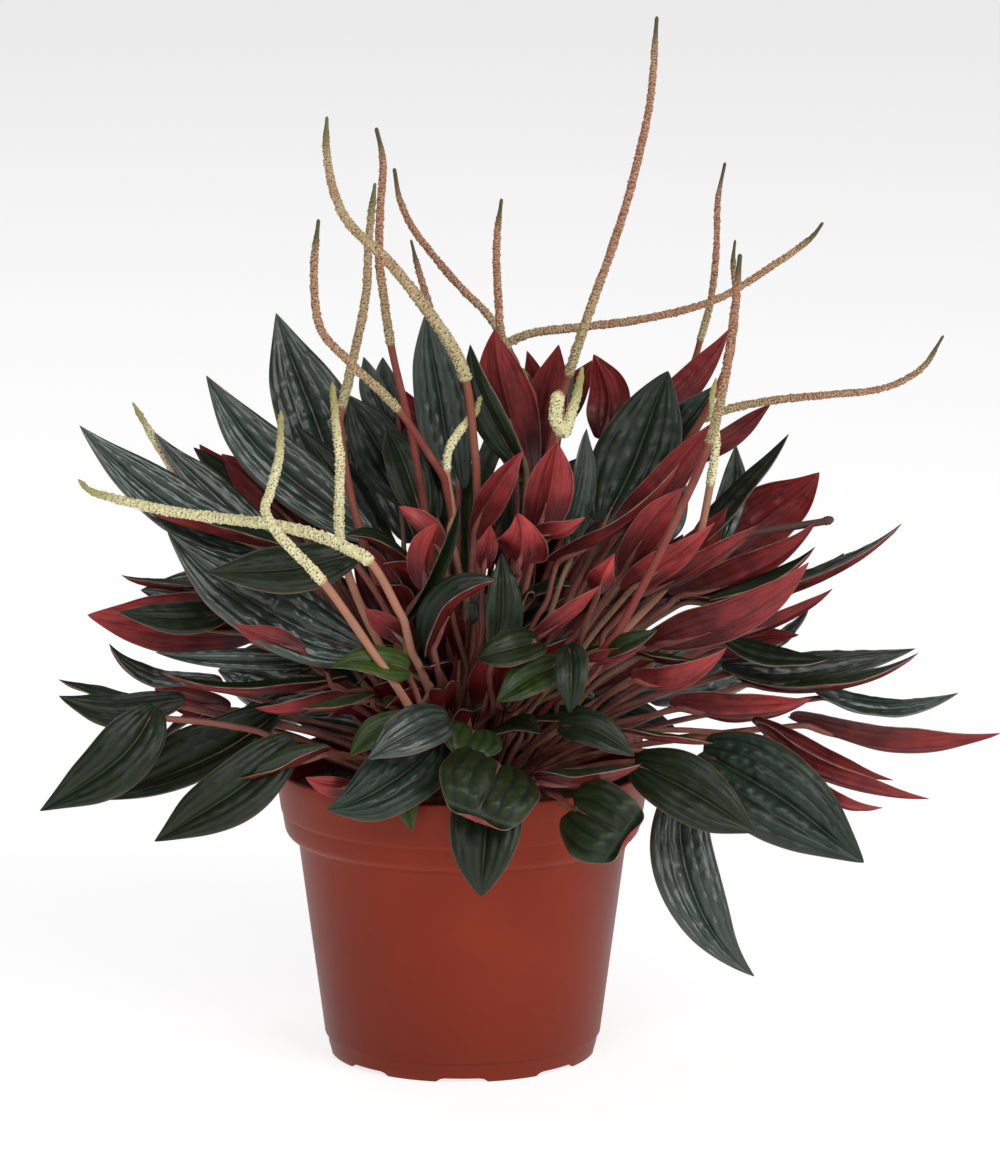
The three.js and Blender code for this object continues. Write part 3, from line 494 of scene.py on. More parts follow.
def join(parts):
    names = sorted({name for part in parts for name in part.values})
    starts = np.cumsum([0] + [len(part.points) for part in parts[:-1]])
    return SimpleNamespace(
        points=np.concatenate([part.points for part in parts]),
        quads=np.concatenate([part.quads + start for part, start in zip(parts, starts)]),
        slots=np.concatenate([part.slots for part in parts]),
        values={name: np.concatenate([part.values.get(name, np.zeros(len(part.points))) for part in parts])
                for name in names},
    )


def turned(profile, sides=POT_SIDES):
    """Rings round the Z axis, one for each (radius, height) of a profile."""
    profile = np.asarray(profile, float)
    angles = np.arange(sides) / sides * 2 * math.pi
    rings = np.empty((len(profile), sides, 3))
    rings[..., 0] = profile[:, :1] * np.cos(angles)
    rings[..., 1] = profile[:, :1] * np.sin(angles)
    rings[..., 2] = profile[:, 1:]
    return rings


def make_object(name, part, materials, slot, *nodes):
    mesh = bpy.data.meshes.new(name)
    mesh.vertices.add(len(part.points))
    mesh.vertices.foreach_set("co", (part.points * MM).astype(np.float32).ravel())
    mesh.loops.add(part.quads.size)
    mesh.loops.foreach_set("vertex_index", part.quads.astype(np.int32).ravel())
    mesh.polygons.add(len(part.quads))
    mesh.polygons.foreach_set("loop_start", np.arange(0, part.quads.size, 4, dtype=np.int32))
    mesh.polygons.foreach_set("material_index", part.slots.astype(np.int32))
    mesh.update(calc_edges=True)
    mesh.shade_smooth()
    for key, values in part.values.items():
        attribute = mesh.attributes.new(key, "FLOAT", "POINT")
        attribute.data.foreach_set("value", values.astype(np.float32))
    for material in materials:
        mesh.materials.append(material)
    piece = bpy.data.objects.new(name, mesh)
    bpy.context.scene.collection.objects.link(piece)
    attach(piece, "root")
    if nodes:
        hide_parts(*nodes)
    return piece


# ---------------------------------------------------------------- where each leaf and spike grows

def make_leaf(name, neck, mid, tip, width, turn, fold, fresh, faces_eye=True):
    leaf = SimpleNamespace(name=name, width=width, fresh=fresh, faces_eye=faces_eye)
    leaf.neck, leaf.mid, leaf.tip = np.array(neck), np.array(mid), np.array(tip)
    leaf.turn = math.radians(turn)
    leaf.fold = math.radians(fold)
    leaf.twist = 0.0
    leaf.length = np.linalg.norm(leaf.mid - leaf.neck) + np.linalg.norm(leaf.tip - leaf.mid)
    tangent = midrib(leaf, np.array([0.0]))[1][0]
    leaf.arrival = unit(tangent * (1 - OUTWARD_SHARE) + unit(leaf.neck) * OUTWARD_SHARE)
    leaf.marks = blade_marks(leaf)
    return leaf


def seen_leaf(name, neck, mid, tip, width, turn, fold, fresh):
    return make_leaf(name, *place([neck, mid, tip]), width, turn, fold, fresh)


def make_spike(name, flowers, stalk, ripe, base_width, tip_width):
    points = place(flowers + stalk)
    spike = SimpleNamespace(name=name, points=points, flower_count=len(flowers), ripe=ripe,
                            base_width=base_width, tip_width=tip_width)
    spike.neck = points[-1]
    spike.arrival = unit(points[-2] - points[-1])
    curve = curve_through(points)
    count = math.ceil(curve[1][-1] / MARK_SPACING)
    spike.marks = along_curve(curve, np.linspace(0, curve[1][-1], count + 1))
    return spike


def midrib(leaf, s):
    """Points and unit tangents of the midrib at shares s of its way from neck to tip."""
    control = 2 * leaf.mid - (leaf.neck + leaf.tip) / 2
    s = s[:, None]
    points = (1 - s) ** 2 * leaf.neck + 2 * s * (1 - s) * control + s * s * leaf.tip
    tangents = (1 - s) * (control - leaf.neck) + s * (leaf.tip - control)
    return points, unit(tangents)


def blade_frames(leaf, s):
    """Centres, tangents, upper-face normals and width directions of the blade; s below 0 is its heel."""
    centres, tangents = midrib(leaf, np.maximum(s, 0))
    centres = centres + tangents * (np.minimum(s, 0) * leaf.length)[:, None]
    towards = EYE - centres if leaf.faces_eye else np.broadcast_to([0.0, 0.0, 1.0], centres.shape)
    facing = unit(towards - tangents * (towards * tangents).sum(axis=1, keepdims=True))
    turn = (leaf.turn + leaf.twist * (s - 0.5))[:, None]
    normals = facing * np.cos(turn) + np.cross(tangents, facing) * np.sin(turn)
    return centres, tangents, normals, np.cross(tangents, normals)


def blade_marks(leaf):
    """Points of the blade that other pieces' stalks, and leaves placed by chance, keep clear of."""
    centres, _, normals, sides = blade_frames(leaf, MARK_STATIONS)
    half = leaf.width / 2 * np.minimum(1, MARK_TAPER * (1 - MARK_STATIONS))
    out = half[:, None, None] * MARKS_ACROSS[:, None]
    points = centres[:, None] + sides[:, None] * out * math.cos(leaf.fold)
    return (points + normals[:, None] * np.abs(out) * math.sin(leaf.fold)).reshape(-1, 3)


def first_root(piece):
    """Where a stalk leaves the crown: towards what it carries, nearer the middle the steeper it rises."""
    reach = math.hypot(piece.neck[0], piece.neck[1])
    flatness = math.atan2(reach, piece.neck[2] - CROWN_SEAT) / (math.pi / 2)
    radius = CROWN_RADIUS * min(ROOT_MOST, ROOT_LEAST + ROOT_GAIN * flatness)
    return piece.neck[:2] * radius / reach


def spread_roots(roots, fixed, room):
    """Moves roots apart, and away from fixed ones, over the crown."""
    roots = np.array(roots)
    for _ in range(ROOT_ROUNDS):
        others = np.concatenate([roots, fixed])
        away = roots[:, None] - others
        apart = np.linalg.norm(away, axis=2)
        near = (apart < room) & (apart > 0)
        share = np.where(np.arange(len(others)) < len(roots), 0.5, 1.0)
        push = np.where(near, (room - apart) / np.maximum(apart, 1e-6) * share, 0)
        roots = roots + 0.5 * (away * push[..., None]).sum(axis=1)
        length = np.linalg.norm(roots, axis=1, keepdims=True)
        roots = roots * np.minimum(1, ROOT_LIMIT * CROWN_RADIUS / np.maximum(length, 1e-6))
    return roots


def crown_point(root, above):
    """A point at a height above the crown's dome, and the direction in which a stalk leaves it."""
    sine = np.linalg.norm(root) / CROWN_RADIUS
    rise = CROWN_HEIGHT * math.sqrt(1 - sine * sine)
    upward = ROOT_STEEPNESS * rise / CROWN_HEIGHT
    normal = unit(np.array([root[0] / CROWN_RADIUS, root[1] / CROWN_RADIUS, upward]))
    point = np.array([root[0], root[1], CROWN_SEAT + CROWN_EDGE + rise])
    return point + normal * above, normal


def first_knots(piece):
    point, normal = crown_point(piece.root, -STALK_DEPTH)
    span = np.linalg.norm(piece.neck - point)
    rise = point + normal * STALK_RISE * span
    arrive = piece.neck - piece.arrival * STALK_ARRIVE * span
    t = np.linspace(0, 1, KNOTS)[:, None]
    return ((1 - t) ** 3 * point + 3 * t * (1 - t) ** 2 * rise
            + 3 * t * t * (1 - t) * arrive + t ** 3 * piece.neck)


def tree_of(groups):
    """A search tree over groups of points, and the group that each of its points belongs to."""
    points = np.concatenate(groups)
    owners = np.repeat(np.arange(len(groups)), [len(group) for group in groups])
    tree = kdtree.KDTree(len(points))
    for index, point in enumerate(points):
        tree.insert(point, index)
    tree.balance()
    return tree, owners


def push_away(knot, search, owner, room, share):
    tree, owners = search
    for point, index, _ in tree.find_range(knot, room):
        away = knot - point
        apart = away.length
        if owners[index] != owner and 0 < apart < room:
            knot += away * (share * (room - apart) / apart)


def clear_rim(knot):
    r = math.hypot(knot.x, knot.y)
    lowest = POT_HEIGHT + RIM_CLEARANCE
    if RIM_RADIUS - RIM_INSIDE < r < RIM_RADIUS + RIM_OUTSIDE and knot.z < lowest:
        knot.z = lowest


def settle_stalks(moving, settled, room):
    """Makes room for the stalks of `moving` among one another and among the settled pieces."""
    everything = moving + settled
    marks = tree_of([piece.marks for piece in everything])
    standing = tree_of([piece.knots for piece in settled]) if settled else None
    inner = slice(FIXED_KNOTS, KNOTS - FIXED_KNOTS)
    for _ in range(room.rounds):
        loose = tree_of([piece.knots for piece in moving])
        for owner, piece in enumerate(moving):
            for index in range(FIXED_KNOTS, KNOTS - FIXED_KNOTS):
                knot = Vector(piece.knots[index])
                push_away(knot, loose, owner, room.stalk, 0.5)
                if standing:
                    push_away(knot, standing, -1, room.stalk, 1)
                push_away(knot, marks, owner, BLADE_ROOM, 1)
                clear_rim(knot)
                piece.knots[index] = knot
        for piece in moving:
            between = (piece.knots[:-2] + piece.knots[2:])[inner.start - 1:inner.stop - 1] / 2
            piece.knots[inner] += SMOOTHING * (between - piece.knots[inner])


def grow(moving, settled, room):
    fixed = np.array([piece.root for piece in settled]).reshape(-1, 2)
    roots = spread_roots([first_root(piece) for piece in moving], fixed, room.root)
    for piece, root in zip(moving, roots):
        piece.root = root
        piece.knots = first_knots(piece)
    settle_stalks(moving, settled, room)


# ---------------------------------------------------------------- leaves

def outline(t, roundness, youth):
    """The blade's half width from base to tip, as a share of the greatest. A young one is widest low down."""
    a = (0.68 - 0.31 * roundness) * (1 - 0.63 * youth)
    b = 0.95 - 0.38 * roundness + 0.3 * youth
    peak = a / (a + b)
    return t ** a * (1 - t) ** b / (peak ** a * (1 - peak) ** b)


def wing_rise(t, u, half, fold, rng):
    """How far the blade rises from its midrib: folded, bulging between midrib and wavy, drooping margin."""
    side_of = np.abs(u)
    valley = (np.sqrt(u * u + 0.006) - 0.077) / 0.926
    rise = np.sin(fold) * valley * half
    rise = rise + half * (WING_BULGE * np.sin(math.pi * side_of ** 0.8) - EDGE_DROOP * side_of ** 6)
    for edge in (-1, 1):
        waves = wave(rng, 7, 12, t) + 0.4 * np.sin(20 * t + rng.uniform(0, 6))
        rise = rise + np.maximum(edge * u, 0) ** 3 * (0.05 * waves[:, None] * half)
    return rise


def curl_tip(share, leaf, t, frames):
    """The frames of a blade with that share of it, at the tip, rolled up over its upper face."""
    centres, tangents, normals, sides = frames
    rolled = np.maximum(t - 1 + share, 0)[:, None] * leaf.length
    turn = rolled / CURL_RADIUS
    centres = centres - tangents * (rolled - CURL_RADIUS * np.sin(turn))
    centres = centres + normals * CURL_RADIUS * (1 - np.cos(turn))
    ahead = tangents * np.cos(turn) + normals * np.sin(turn)
    return centres, ahead, normals * np.cos(turn) - tangents * np.sin(turn), sides


def blade_spine(leaf, t, heel, curled, rng):
    """The frames along a blade that sways and ripples a little, with that share of it curled at the tip."""
    frames = blade_frames(leaf, t * (1 + heel) - heel)
    centres, tangents, normals, sides = curl_tip(curled, leaf, t, frames)
    sway = np.sin(math.pi * t) * wave(rng, 3, 6, t)
    centres = centres + sides * (0.012 * leaf.length * sway)[:, None]
    ripple = wave(rng, 5, 9, t) * ease(0, 0.3, t)
    centres = centres + normals * (0.008 * leaf.length * ripple)[:, None]
    return centres, tangents, normals, sides


def veined(t):
    """How strong the veins and the quilting are along a blade: they fade out at its base and tip."""
    return (ease(0, 0.1, t) * ease(0, 0.22, 1 - t))[:, None]


def quilting(leaf, t, u, half, swell, rng):
    """Puckers between the sunken lengthwise veins: 0 in a vein to about 1 on a crest, and their height."""
    side_of = np.abs(u)
    interval = np.searchsorted(VEINS[1:-1], side_of, side="right")
    between = (side_of - VEINS[interval]) / (VEINS[interval + 1] - VEINS[interval])
    arch = 1 - np.abs(2 * between - 1) ** 1.9
    pitch = max(1.5, PUCKER_PITCH * leaf.width)
    along = t[:, None] * leaf.length
    offsets = rng.uniform(0, 1, (2, len(VEINS) - 1))[(u > 0).astype(int), interval]
    drift = 0.5 * np.sin(along / pitch * 1.3 + offsets * 9)
    drift = drift + 0.3 * np.sin(along / pitch * 0.55 + offsets * 23)
    phase = (along - 0.75 * side_of * half) / pitch + offsets + drift
    cell = 1 - np.abs(2 * (phase % 1) - 1) ** 2.4
    hammered = np.zeros((len(t), len(u)))
    for _ in range(HAMMER_WAVES):
        heading = rng.uniform(-0.9, 0.9)
        run = along * math.cos(heading) + u * half * math.sin(heading)
        turns = run * 2 * math.pi / rng.uniform(*HAMMER_LENGTH)
        hammered += np.sin(turns + rng.uniform(0, 6)) / HAMMER_WAVES
    ridge = arch * (0.86 + 0.14 * cell) * (1 + 0.45 * hammered)
    uneven = 0.75 + 0.25 * np.sin(along / pitch * 2.1 + offsets * 40)
    depth = RELIEF * leaf.width * (1 - 0.45 * ease(0.05, 0.25, leaf.fresh)) * veined(t)
    depth = depth * np.minimum(1, 1.3 * swell)[:, None] * (1 - 0.6 * side_of ** 2)
    return ridge, depth * (ridge * uneven + HAMMER_DEPTH * hammered * arch)


def underside_depth(t, side_of, half):
    """How far the underside lies below the upper face: the blade's thickness and the keels of its veins."""
    thickness = BLADE_THICKNESS * np.minimum(1, half / 1.2) * (1 - 0.5 * side_of)
    keel = 0.5 * np.exp(-(side_of / 0.05) ** 2) + 0.22 * np.exp(-((side_of - VEINS[1]) / 0.035) ** 2)
    return thickness + keel * veined(t)


def blade(leaf, rng):
    """The blade: quilted between sunken lengthwise veins above, keeled below, with a wavy margin."""
    columns = 2 * int(np.clip(round(leaf.width), 12, 24)) + 1
    rows = int(np.clip(leaf.length * 1.6, 32, 100))
    even = np.linspace(0, 1, rows)
    t = 0.45 * even + 0.275 * (1 - np.cos(math.pi * even))
    u = np.linspace(-1, 1, columns)
    side_of = np.abs(u)
    roundness = float(np.clip((leaf.width / leaf.length - 0.45) / 0.4, 0, 1))
    youth = float(ease(0.85, 0.97, leaf.fresh))
    heel = HEEL * (1 - 0.4 * roundness)
    curled = CURLED_TIPS.get(leaf.name, 0)
    centres, tangents, normals, sides = blade_spine(leaf, t, heel, curled, rng)
    swell = outline(t, roundness, youth) * (1 - 0.18 * (1 - roundness) * ease(0.7, 1, t))
    half = (leaf.width / 2 * swell + 0.12)[:, None]
    spread = 1 + 0.045 * wave(rng, 5, 9, t)[:, None] * np.sign(u)
    fold = leaf.fold * (1 + 0.35 * (1 - t) ** 2)[:, None]
    out = np.cos(fold) * u * half * spread
    flat = ease(curled, curled + 0.15, 1 - t)[:, None] if curled else 1
    rise = wing_rise(t, u, half, fold, rng) * flat
    ridge, relief = quilting(leaf, t, u, half, swell, rng)
    relief = relief * flat
    lobe = (0.05 + 0.14 * roundness) * leaf.length * ((1 - t) ** 5 * np.minimum(1, 2.5 * swell))[:, None]
    back = -lobe * side_of ** 1.5
    along = t[:, None] * leaf.length
    from_joint = ((along - heel * leaf.length) ** 2 + out ** 2) / JOINT_SPOT ** 2
    joint = leaf.faces_eye * ease(0, 0.4, roundness) * np.exp(-from_joint)

    def spot(raise_by):
        return (centres[:, None] + tangents[:, None] * back[..., None]
                + sides[:, None] * out[..., None] + normals[:, None] * raise_by[..., None])

    under = rise + 0.8 * relief - underside_depth(t, side_of, half)
    rings = np.concatenate([spot(rise + relief), spot(under)[:, ::-1]], axis=1)
    slots = np.concatenate([np.full(columns - 1, UPPER_FACE), [MARGIN],
                            np.full(columns - 1, UNDER_FACE), [MARGIN]])

    def both(values):
        grid = np.broadcast_to(values, (rows, columns))
        return np.concatenate([grid, grid[:, ::-1]], axis=1)

    # ridge carries the crest height that the upper face uses for painted shade in the veins and painted sheen
    # on the crests, and fresh also sets the painted sheen
    return loft(rings, slots, ridge=both(ridge), across=both(u), along=both(t[:, None]),
                map_x=both(out), map_y=both(along), joint=both(joint), fresh=leaf.fresh,
                tone=rng.uniform(0, 1))


def leaf_stalk(leaf, rng):
    """The stalk, which starts inside the crown and runs out under the midrib."""
    radius = 0.72 + leaf.width / 24 * 0.4
    centres, _, normals, _ = blade_frames(leaf, np.array([0.0, 0.09, 0.19, STALK_RUN_OUT]))
    under = centres - normals * np.array([0.8, 0.75, 0.6, 0.45])[:, None] * radius
    curve = curve_through(np.concatenate([leaf.knots[:-1], under]), 5)
    total = curve[1][-1]
    distances = np.linspace(0, total, int(total / STALK_STEP) + 6)
    run_out = STALK_RUN_OUT * leaf.length
    taper = 1 - 0.75 * ease(0, 1, (distances - total + run_out) / run_out)
    flare = 1 + 0.5 * np.exp(-distances / 2.5)
    wobble = 1 + 0.05 * wave(rng, 0.25, 0.5, distances)
    line = along_curve(curve, distances)
    rise = np.broadcast_to((distances / total)[:, None], (len(line), STALK_SIDES))
    return tube(line, radius * taper * flare * wobble, STALK_SIDES, STALK, along=rise, fresh=leaf.fresh,
                tone=rng.uniform(0, 1))


def leaf_part(leaf, seed):
    rng = np.random.default_rng(seed)
    leaf.twist = rng.uniform(-0.14, 0.14)
    return join([blade(leaf, rng), leaf_stalk(leaf, rng)])


# ---------------------------------------------------------------- flower spikes

def florets(distances, angles, radius, rng):
    """Florets in staggered rows round a spike: how far each point stands out, and how much it is anther."""
    rows = np.maximum(np.floor(distances / FLORET_ROW).astype(int), 0)
    jitter = rng.normal(0, 1, (4, rows.max() + 2, FLORET_COLUMNS))
    standing = np.zeros((len(distances), len(angles)))
    anther = np.zeros_like(standing)
    for row_step in (0, 1):
        row = rows[:, None] + row_step
        turns = angles / (2 * math.pi) * FLORET_COLUMNS - 0.5 * (row % 2)
        for column_step in (0, 1):
            column = np.floor(turns).astype(int) + column_step
            along_by, round_by, size_by, height_by = jitter[:, row, column % FLORET_COLUMNS]
            along = distances[:, None] - (row + 0.16 * along_by) * FLORET_ROW
            across = (turns - column - 0.14 * round_by) * 2 * math.pi * radius / FLORET_COLUMNS
            size = FLORET_SIZE * (1 + 0.15 * size_by)
            bead = np.clip(1 - (along ** 2 + across ** 2) / size ** 2, 0, 1) ** 0.6
            standing = np.maximum(standing, bead * np.clip(0.85 + 0.25 * height_by, 0.3, 1.4))
            spot = ((along - ANTHER_OFFSET) ** 2 + (across - 0.3 * round_by) ** 2) / ANTHER_SIZE ** 2
            anther = np.maximum(anther, np.clip(1 - spot, 0, 1) * (height_by > -0.4))
    return standing, anther


def tip_length(spike, flowering):
    """How much of the flowering part narrows to its tip: more on a young spike."""
    return min(BARE_TIP * (2 - 0.8 * spike.ripe), 0.5 * flowering)


def spike_core(spike, from_base, from_tip, flowering, rng):
    """The radius of a spike without its florets, from its bare stem to its rounded tip."""
    width = spike.base_width + (spike.tip_width - spike.base_width) * np.clip(from_base / flowering, 0, 1)
    full = width / 2 - 0.7 * FLORET_HEIGHT
    slim = (YOUNG_TIP_WIDTH + (TIP_WIDTH - YOUNG_TIP_WIDTH) * spike.ripe) / 2 * spike.tip_width
    core = slim + (full - slim) * np.clip(from_tip / tip_length(spike, flowering), 0, 1) ** 0.8
    core = np.where(from_base < 0, STEM_WIDTH * min(spike.base_width, 3.2) / 2, core)
    core = core * (1 + 0.03 * np.sin(from_base * 0.35 + rng.uniform(0, 6)))
    round_off = np.clip(1 - from_tip / TIP_ROUNDING, 0, 1)
    return core * np.sqrt(1 - 0.97 * round_off ** 2)


def spike_part(spike, seed):
    """A bare stem, and the flowering part, set all round with florets up to its bare tip."""
    rng = np.random.default_rng(seed)
    curve = curve_through(np.concatenate([spike.knots, spike.points[-2::-1]]), 10)
    total = curve[1][-1]
    flowering = curve_through(spike.points[:spike.flower_count])[1][-1]
    base = total - flowering
    below, above = np.arange(0, base - 2, STALK_STEP), np.arange(base - 2, total, FLOWER_STEP)
    distances = np.concatenate([below, above, [total]])
    line = along_curve(curve, distances)
    from_base = distances - base
    from_tip = total - distances
    bare = min(BARE_TIP, 0.3 * flowering) * (0.15 + 0.85 * spike.ripe)
    core = spike_core(spike, from_base, from_tip, flowering, rng)
    core = core + 0.4 * np.exp(-distances / 3)
    angles = np.arange(FLOWER_SIDES) / FLOWER_SIDES * 2 * math.pi
    presence = (ease(-0.5, 0.8, from_base) * ease(0.4 * bare, 1.5 * bare, from_tip))[:, None]
    narrowing = tip_length(spike, flowering)
    green = 1 - ease(0.2 * narrowing, (1.2 - 0.3 * spike.ripe) * narrowing, from_tip)
    standing, anther = florets(from_base, angles, (spike.base_width + spike.tip_width) / 4, rng)
    radii = core[:, None] + FLORET_HEIGHT * standing * presence
    shape = radii.shape
    return tube(line, radii, FLOWER_SIDES, bump=standing * presence, anther=anther * presence,
                flower=np.broadcast_to(ease(-0.8, 1, from_base)[:, None], shape),
                along=np.broadcast_to(np.clip(from_base / flowering, 0, 1)[:, None], shape),
                tip=np.broadcast_to(green[:, None], shape),
                ripe=spike.ripe, tone=rng.uniform(0, 1))


# ---------------------------------------------------------------- pot

def arc(centre, radius, start, stop, steps=5):
    angles = np.radians(np.linspace(start, stop, steps))
    return [(centre[0] + radius * math.cos(a), centre[1] + radius * math.sin(a)) for a in angles]


def pot_profile():
    """The pot's wall, from the middle of its underside round over the rim to the middle of its floor."""
    slope = (RIM_RADIUS - COLLAR_FOOT_RADIUS) / (POT_HEIGHT - COLLAR_FOOT_HEIGHT)
    lip = WALL / 2
    step_height = COLLAR_FOOT_HEIGHT + 5
    floor = BASE_LIFT + WALL
    under = [(3, 0), (PAD_RADIUS - 0.5, 0), (PAD_RADIUS, 0.15), (PAD_RADIUS + PAD_SLOPE, BASE_LIFT),
             (FOOT_RADIUS - WALL - 0.6, BASE_LIFT), (FOOT_RADIUS - WALL, 0.1), (FOOT_RADIUS - WALL + 0.2, 0),
             (FOOT_RADIUS - 0.2, 0), (FOOT_RADIUS, 0.2)]
    body = [(FOOT_RADIUS + 0.5, 3), (FOOT_TOP_RADIUS, BODY_FOOT_HEIGHT - 0.45),
            (FOOT_TOP_RADIUS + 0.1, BODY_FOOT_HEIGHT - 0.2), (BODY_FOOT_RADIUS, BODY_FOOT_HEIGHT),
            (BODY_FOOT_RADIUS + 0.1, BODY_FOOT_HEIGHT + 0.5)]
    rising = np.linspace(0.02, 0.99, 24)[:, None]
    body += list(np.array([BODY_FOOT_RADIUS, BODY_FOOT_HEIGHT])
                 + rising * [BODY_TOP_RADIUS - BODY_FOOT_RADIUS, BODY_TOP_HEIGHT - BODY_FOOT_HEIGHT])
    collar = [(BODY_TOP_RADIUS + 0.12, BODY_TOP_HEIGHT - 0.1)]
    for share in np.linspace(0.12, 1, 9):
        keep = 1 - share
        collar.append((keep ** 2 * BODY_TOP_RADIUS + 2 * share * keep * (COLLAR_FOOT_RADIUS - 0.4)
                       + share ** 2 * COLLAR_FOOT_RADIUS,
                       keep ** 2 * BODY_TOP_HEIGHT + 2 * share * keep * (BODY_TOP_HEIGHT + 0.5)
                       + share ** 2 * COLLAR_FOOT_HEIGHT))
    for height, proud in ((1.5, 0), (4.4, 0), (4.9, -0.1), (5.3, 0.22), (5.8, 0.28), (9, 0.2), (14, 0.05)):
        collar.append((COLLAR_FOOT_RADIUS + slope * height + proud, COLLAR_FOOT_HEIGHT + height))
    rim = arc((RIM_RADIUS - lip, POT_HEIGHT - lip), lip, 0, 180, 7)
    inner = [(COLLAR_FOOT_RADIUS - WALL + slope * (step_height - COLLAR_FOOT_HEIGHT), step_height),
             (COLLAR_FOOT_RADIUS - WALL, COLLAR_FOOT_HEIGHT + 0.8),
             (COLLAR_FOOT_RADIUS - WALL - 1.2, BODY_TOP_HEIGHT + WALL + 0.5),
             (BODY_TOP_RADIUS - WALL, BODY_TOP_HEIGHT + WALL - 0.2),
             (BODY_FOOT_RADIUS - WALL, BODY_FOOT_HEIGHT + WALL), (FOOT_TOP_RADIUS - WALL - 0.4, floor + 0.3),
             (FOOT_TOP_RADIUS - WALL - 0.8, floor), (PAD_RADIUS + PAD_SLOPE + 0.6, floor),
             (PAD_RADIUS + 0.6, WALL), (3, WALL)]
    return np.array(under + body + collar + rim + inner)


def cut_notches(rings):
    """Raises the foot ring in evenly spaced notches, the first at the front."""
    sides = rings.shape[1]
    angle = np.arange(sides) / sides * 360 + 90
    share = (angle * NOTCHES / 360 + 0.25) % 1
    lift = ease(0, 0.06, share) * ease(0, 0.06, 0.5 - share) * NOTCH_HEIGHT
    r = np.linalg.norm(rings[..., :2], axis=2)
    foot = (r > FOOT_RADIUS - WALL - 0.3) & (rings[..., 2] < 1)
    rings[..., 2] = np.where(foot, np.maximum(rings[..., 2], lift), rings[..., 2])


def cut_drain_holes(piece):
    """Cuts the drain holes through the floor of the pot."""
    cutters = []
    for i in range(DRAIN_HOLES):
        angle = -math.pi / 2 + (i + 0.5) / DRAIN_HOLES * 2 * math.pi
        centre = np.array([DRAIN_HOLE_CIRCLE * math.cos(angle), DRAIN_HOLE_CIRCLE * math.sin(angle), 0])
        rings = turned([(DRAIN_HOLE_RADIUS, BASE_LIFT - 1), (DRAIN_HOLE_RADIUS, BASE_LIFT + WALL + 1)], 24)
        cutters.append(loft(rings + centre))
    cutter = make_object("drain_hole_cutter", join(cutters), [], "pot_plastic")
    cut = piece.modifiers.new("drain_holes", "BOOLEAN")
    cut.operation = "DIFFERENCE"
    cut.solver = "EXACT"
    cut.object = cutter
    apply_modifiers(piece)
    bpy.data.objects.remove(cutter)


def apply_modifiers(piece):
    shaped = piece.evaluated_get(bpy.context.evaluated_depsgraph_get())
    mesh = bpy.data.meshes.new_from_object(shaped)
    piece.modifiers.clear()
    piece.data = mesh


def make_pot():
    rings = turned(pot_profile())
    cut_notches(rings)
    piece = make_object("moulded_pot", loft(rings), [pot_plastic()], "pot_plastic", "pot")
    cut_drain_holes(piece)
    piece.data.set_sharp_from_angle(angle=math.radians(50))


# ---------------------------------------------------------------- soil and crown

def soil_height(r):
    return SOIL_TOP - SOIL_FALL * r / RIM_RADIUS


def roughened(rings, size, depth, seed, only=None):
    """Moves the points of rings by noise of that size and depth, which is the same for the same seed."""
    noise.seed_set(seed)
    points = rings.reshape(-1, 3)
    for point in points:
        if only is None or only(point):
            shift = noise.noise_vector(Vector(point) / size)
            point += np.array(shift) * depth
    return points.reshape(rings.shape)


def keep_inside(points, limit):
    """Moves points that are further than the limit from the Z axis back to it."""
    r = np.linalg.norm(points[..., :2], axis=-1, keepdims=True)
    points[..., :2] *= np.minimum(1, limit / np.maximum(r, 1e-6))


def crumb(rng, centre, size):
    """One crumb of peat: a small lumpy closed grain."""
    latitudes = np.radians([-62, -20, 25, 64])
    rings = turned([(math.cos(a), math.sin(a)) for a in latitudes], 6)
    rings = rings * rng.uniform(0.65, 1.25, rings.shape[:2] + (1,))
    turn = rng.normal(size=(3, 3))
    turn = np.linalg.qr(turn)[0]
    turn = turn * np.sign(np.linalg.det(turn))
    stretch = rng.uniform(0.5, 1.3, 3)
    return loft((rings * stretch) @ turn * size + centre, tone=rng.uniform(0, 1))


def fibre(rng, centre, length):
    """One fibre in the peat."""
    heading = rng.uniform(0, 2 * math.pi)
    steps = np.linspace(-0.5, 0.5, 7)
    bend = rng.uniform(-1, 1) * steps ** 2 * length
    line = np.stack([steps * length * math.cos(heading) - bend * math.sin(heading),
                     steps * length * math.sin(heading) + bend * math.cos(heading),
                     0.5 - 1.6 * np.abs(steps) + rng.uniform(-0.2, 0.3, 7)], axis=1)
    return tube(line + centre, np.full(7, rng.uniform(0.15, 0.3)), 6, tone=rng.uniform(0.6, 1))


